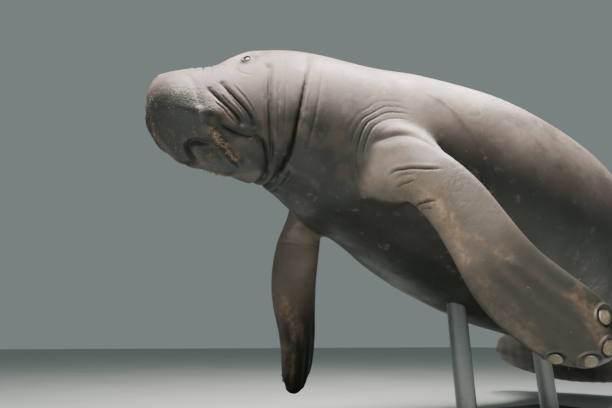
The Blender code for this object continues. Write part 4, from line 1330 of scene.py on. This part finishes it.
def marked_colour(n, place, limb, colour):
    """Adds the brown of the arms, the dark hands, rust-brown growth, the lip ridge's light brown with painted
    light, specks, and painted shade in pits, folds and slits to the hide.
    """
    brown = n.times(limb, n.span(n.noise(place, 17.0, 4.0), 0.45, 0.65, 0.1, 0.55))
    colour = n.mix(brown, colour, (92, 80, 68))
    hand = n.times(n.span(n.attribute("reach"), 0.26, 0.42, 0.0, 0.90), limb)
    colour = n.mix(hand, colour, (33, 36, 31))
    patch = n.span(n.noise(place, 60.0, 4.0, 0.7), 0.40, 0.62)
    rust = n.mix(patch, (112, 88, 66), (164, 138, 114))
    # Rust-brown growth on the flippers, and on the lip ridge a light brown that is partly painted light.
    colour = n.mix(n.times(n.attribute("stain_and_ridge_light"), 0.66), colour, rust)
    colour = n.mix(n.span(n.voronoi(place, 240.0), 0.16, 0.06, 0.0, 0.35), colour, (60, 54, 50))
    # Painted shade in the bristle pits.
    colour = n.mix(n.times(n.attribute("pit"), 0.55), colour, (50, 46, 48))
    # Painted shade in folds, slits, grooves and the ring round the eye.
    return n.mix(n.times(n.attribute("painted_shade"), 0.80), colour, (34, 30, 30))


def skin_bump(n, place, limb):
    """Net of fine lines, lines across the arm and grain."""
    net = n.voronoi(n.scaled(place, (1.0, 0.55, 0.55)), 210.0, "DISTANCE_TO_EDGE")
    normal = n.bump(n.span(net, 0.0, 0.10), 0.0006, 0.16)
    normal = n.bump(n.noise(n.scaled(place, (260.0, 50.0, 50.0)), 1.0, 3.0, 0.6), 0.0009, 0.30, normal)
    reach = n.attribute("reach")
    turns = n.times(reach, 2 * math.pi / ARM_LINE_SPACING)
    strength = n.times(n.span(n.noise(place, 22.0, 3.0), 0.42, 0.62), n.span(reach, 0.34, 0.24))
    arm_lines = n.times(n.span(n.math("SINE", turns), -0.2, 1.0), strength)
    normal = n.bump(n.times(arm_lines, limb), 0.0007, 0.22, normal)
    return n.bump(n.noise(place, 420.0, 3.0, 0.6), 0.0005, 0.35, normal)


def skin_material():
    n = Nodes("manatee_skin")
    place = n.attribute("rest", "Vector")
    x, _, z = n.parts(place)
    limb = n.attribute("limb")
    colour = marked_colour(n, place, limb, skin_colour(n, place, x, z, limb))
    roughness = n.span(n.noise(place, 9.0, 3.0, 0.5), 0.35, 0.70, 0.42, 0.62)
    return n.finish(Base_Color=colour, Roughness=roughness, Specular_IOR_Level=0.35,
                    Normal=skin_bump(n, place, limb))


def eye_material():
    n = Nodes("manatee_eye")
    iris = n.attribute("iris")
    cloud = n.noise(n.object_place(), 220.0)
    colour = n.mix(n.span(iris, 0.93, 0.90), (8, 8, 10), (42, 31, 24))
    colour = n.mix(n.span(iris, 0.66, 0.50), colour, (66, 56, 50))
    colour = n.mix(n.span(cloud, 0.4, 0.6, 0.0, 0.1), colour, (70, 60, 54))
    return n.finish(Base_Color=colour, Roughness=0.04, Coat_Weight=1.0, Coat_Roughness=0.02)


def nail_material():
    n = Nodes("manatee_nail")
    place = n.attribute("nail", "Vector")
    forward = n.parts(place)[0]
    growth = n.noise(n.scaled(place, (7.0, 1.2, 1.0)), 1.0, 4.0, 0.6)
    colour = n.mix(n.span(growth, 0.35, 0.65), (74, 68, 54), (102, 94, 74))
    colour = n.mix(n.span(forward, 0.55, 0.95, 0.0, 0.6), colour, (124, 115, 92))
    colour = n.mix(n.span(forward, -0.2, -0.8, 0.0, 0.7), colour, (64, 58, 46))
    ridges = n.noise(n.scaled(place, (2.0, 16.0, 2.0)), 1.0, 3.0)
    return n.finish(Base_Color=colour, Roughness=n.span(growth, 0.3, 0.7, 0.32, 0.52),
                    Normal=n.bump(ridges, 0.0006, 0.5))


def bristle_material():
    n = Nodes("manatee_bristle")
    cloud = n.noise(n.object_place(), 90.0)
    colour = n.mix(n.span(cloud, 0.4, 0.6), (138, 121, 98), (182, 167, 142))
    return n.finish(Base_Color=colour, Roughness=0.45)


def base_material():
    n = Nodes("stand_paint")
    place = n.object_place()
    cloud = n.noise(place, 5.0, 4.0, 0.6)
    colour = n.mix(n.span(cloud, 0.35, 0.65), (58, 60, 62), (70, 72, 74))
    grain = n.noise(place, 900.0, 2.0, 0.6)
    return n.finish(Base_Color=colour, Roughness=n.span(cloud, 0.3, 0.7, 0.44, 0.58),
                    Normal=n.bump(grain, 0.0004, 0.35))


def rod_material():
    n = Nodes("stand_steel")
    brushed = n.noise(n.scaled(n.object_place(), (20.0, 20.0, 900.0)), 1.0, 4.0, 0.7)
    colour = n.mix(n.span(brushed, 0.35, 0.65), (136, 138, 140), (146, 148, 150))
    return n.finish(Base_Color=colour, Metallic=1.0, Roughness=n.span(brushed, 0.3, 0.7, 0.30, 0.46),
                    Normal=n.bump(brushed, 0.0001, 0.2))


def floor_material():
    n = Nodes("studio_floor")
    cloud = n.noise(n.object_place(), 1.5, 4.0, 0.6)
    colour = n.mix(n.span(cloud, 0.35, 0.65), (176, 184, 181), (184, 191, 188))
    return n.finish(Base_Color=colour, Roughness=0.85)


def wear(name, look):
    """Gives a carried-over CAD node a material of the scene."""
    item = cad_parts[name]
    for slot in item.material_slots:
        slot.material = look
    if not item.material_slots:
        item.data.materials.append(look)


# Camera, floor and light


def make_camera(lift):
    camera = bpy.data.cameras.new("camera")
    camera.lens = CAMERA_LENS
    camera.sensor_width = SENSOR_WIDTH
    camera.clip_start = NEAREST_SEEN
    item = link(bpy.data.objects.new("camera", camera))
    item.location = tip_up(np.array([CAMERA_PLACE]))[0] + lift
    item.rotation_euler = Vector(tip_up(np.array([CAMERA_AIM]))[0]).to_track_quat("-Z", "Y").to_euler()
    bpy.context.scene.camera = item


def make_floor():
    bm = bmesh.new()
    bmesh.ops.create_grid(bm, x_segments=2, y_segments=2, size=FLOOR_HALF)
    mesh = new_mesh(bm, "floor")
    mesh.materials.append(floor_material())
    link(bpy.data.objects.new("floor", mesh))


def make_world():
    world = bpy.data.worlds.new("studio")
    bpy.context.scene.world = world
    world.use_nodes = True
    background = world.node_tree.nodes["Background"]
    background.inputs["Color"].default_value = WORLD_COLOUR
    background.inputs["Strength"].default_value = WORLD_STRENGTH


def make_light():
    """Long soft light with its long side along a level direction; the camera does not see it."""
    light = bpy.data.lights.new("top_light", "AREA")
    light.shape = "RECTANGLE"
    light.size, light.size_y = LIGHT_SIZE
    light.energy = LIGHT_POWER
    light.color = LIGHT_COLOUR
    item = link(bpy.data.objects.new("top_light", light))
    back = unit(np.array(LIGHT_PLACE) - np.array(LIGHT_AIM))
    side = unit(np.array(LIGHT_RUN) - back * back.dot(LIGHT_RUN))
    turn = Matrix([side, np.cross(back, side), back]).transposed().to_4x4()
    item.matrix_world = Matrix.Translation(LIGHT_PLACE) @ turn
    item.visible_camera = False


def main():
    lift = animal_lift()
    make_camera(lift)
    skin, rest, layers = make_skin(lift)
    skin.data.materials.append(skin_material())
    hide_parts(*FLESH)
    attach(skin, "root")
    make_bristles(skin, rest, layers, bristle_material())
    eye_look = eye_material()
    nail_look = nail_material()
    for name, side in (("left", 1), ("right", -1)):
        make_eye("eye_" + name, side, lift, eye_look)
        for k, (station, across) in enumerate(NAIL_PLACES, 1):
            make_nail("nail_%s_%d" % (name, k), FLIPPERS[name], station, across, lift, nail_look)
    wear("stand_base", base_material())
    steel = rod_material()
    wear("stand_rod_front", steel)
    wear("stand_rod_rear", steel)
    make_floor()
    make_world()
    make_light()


main()
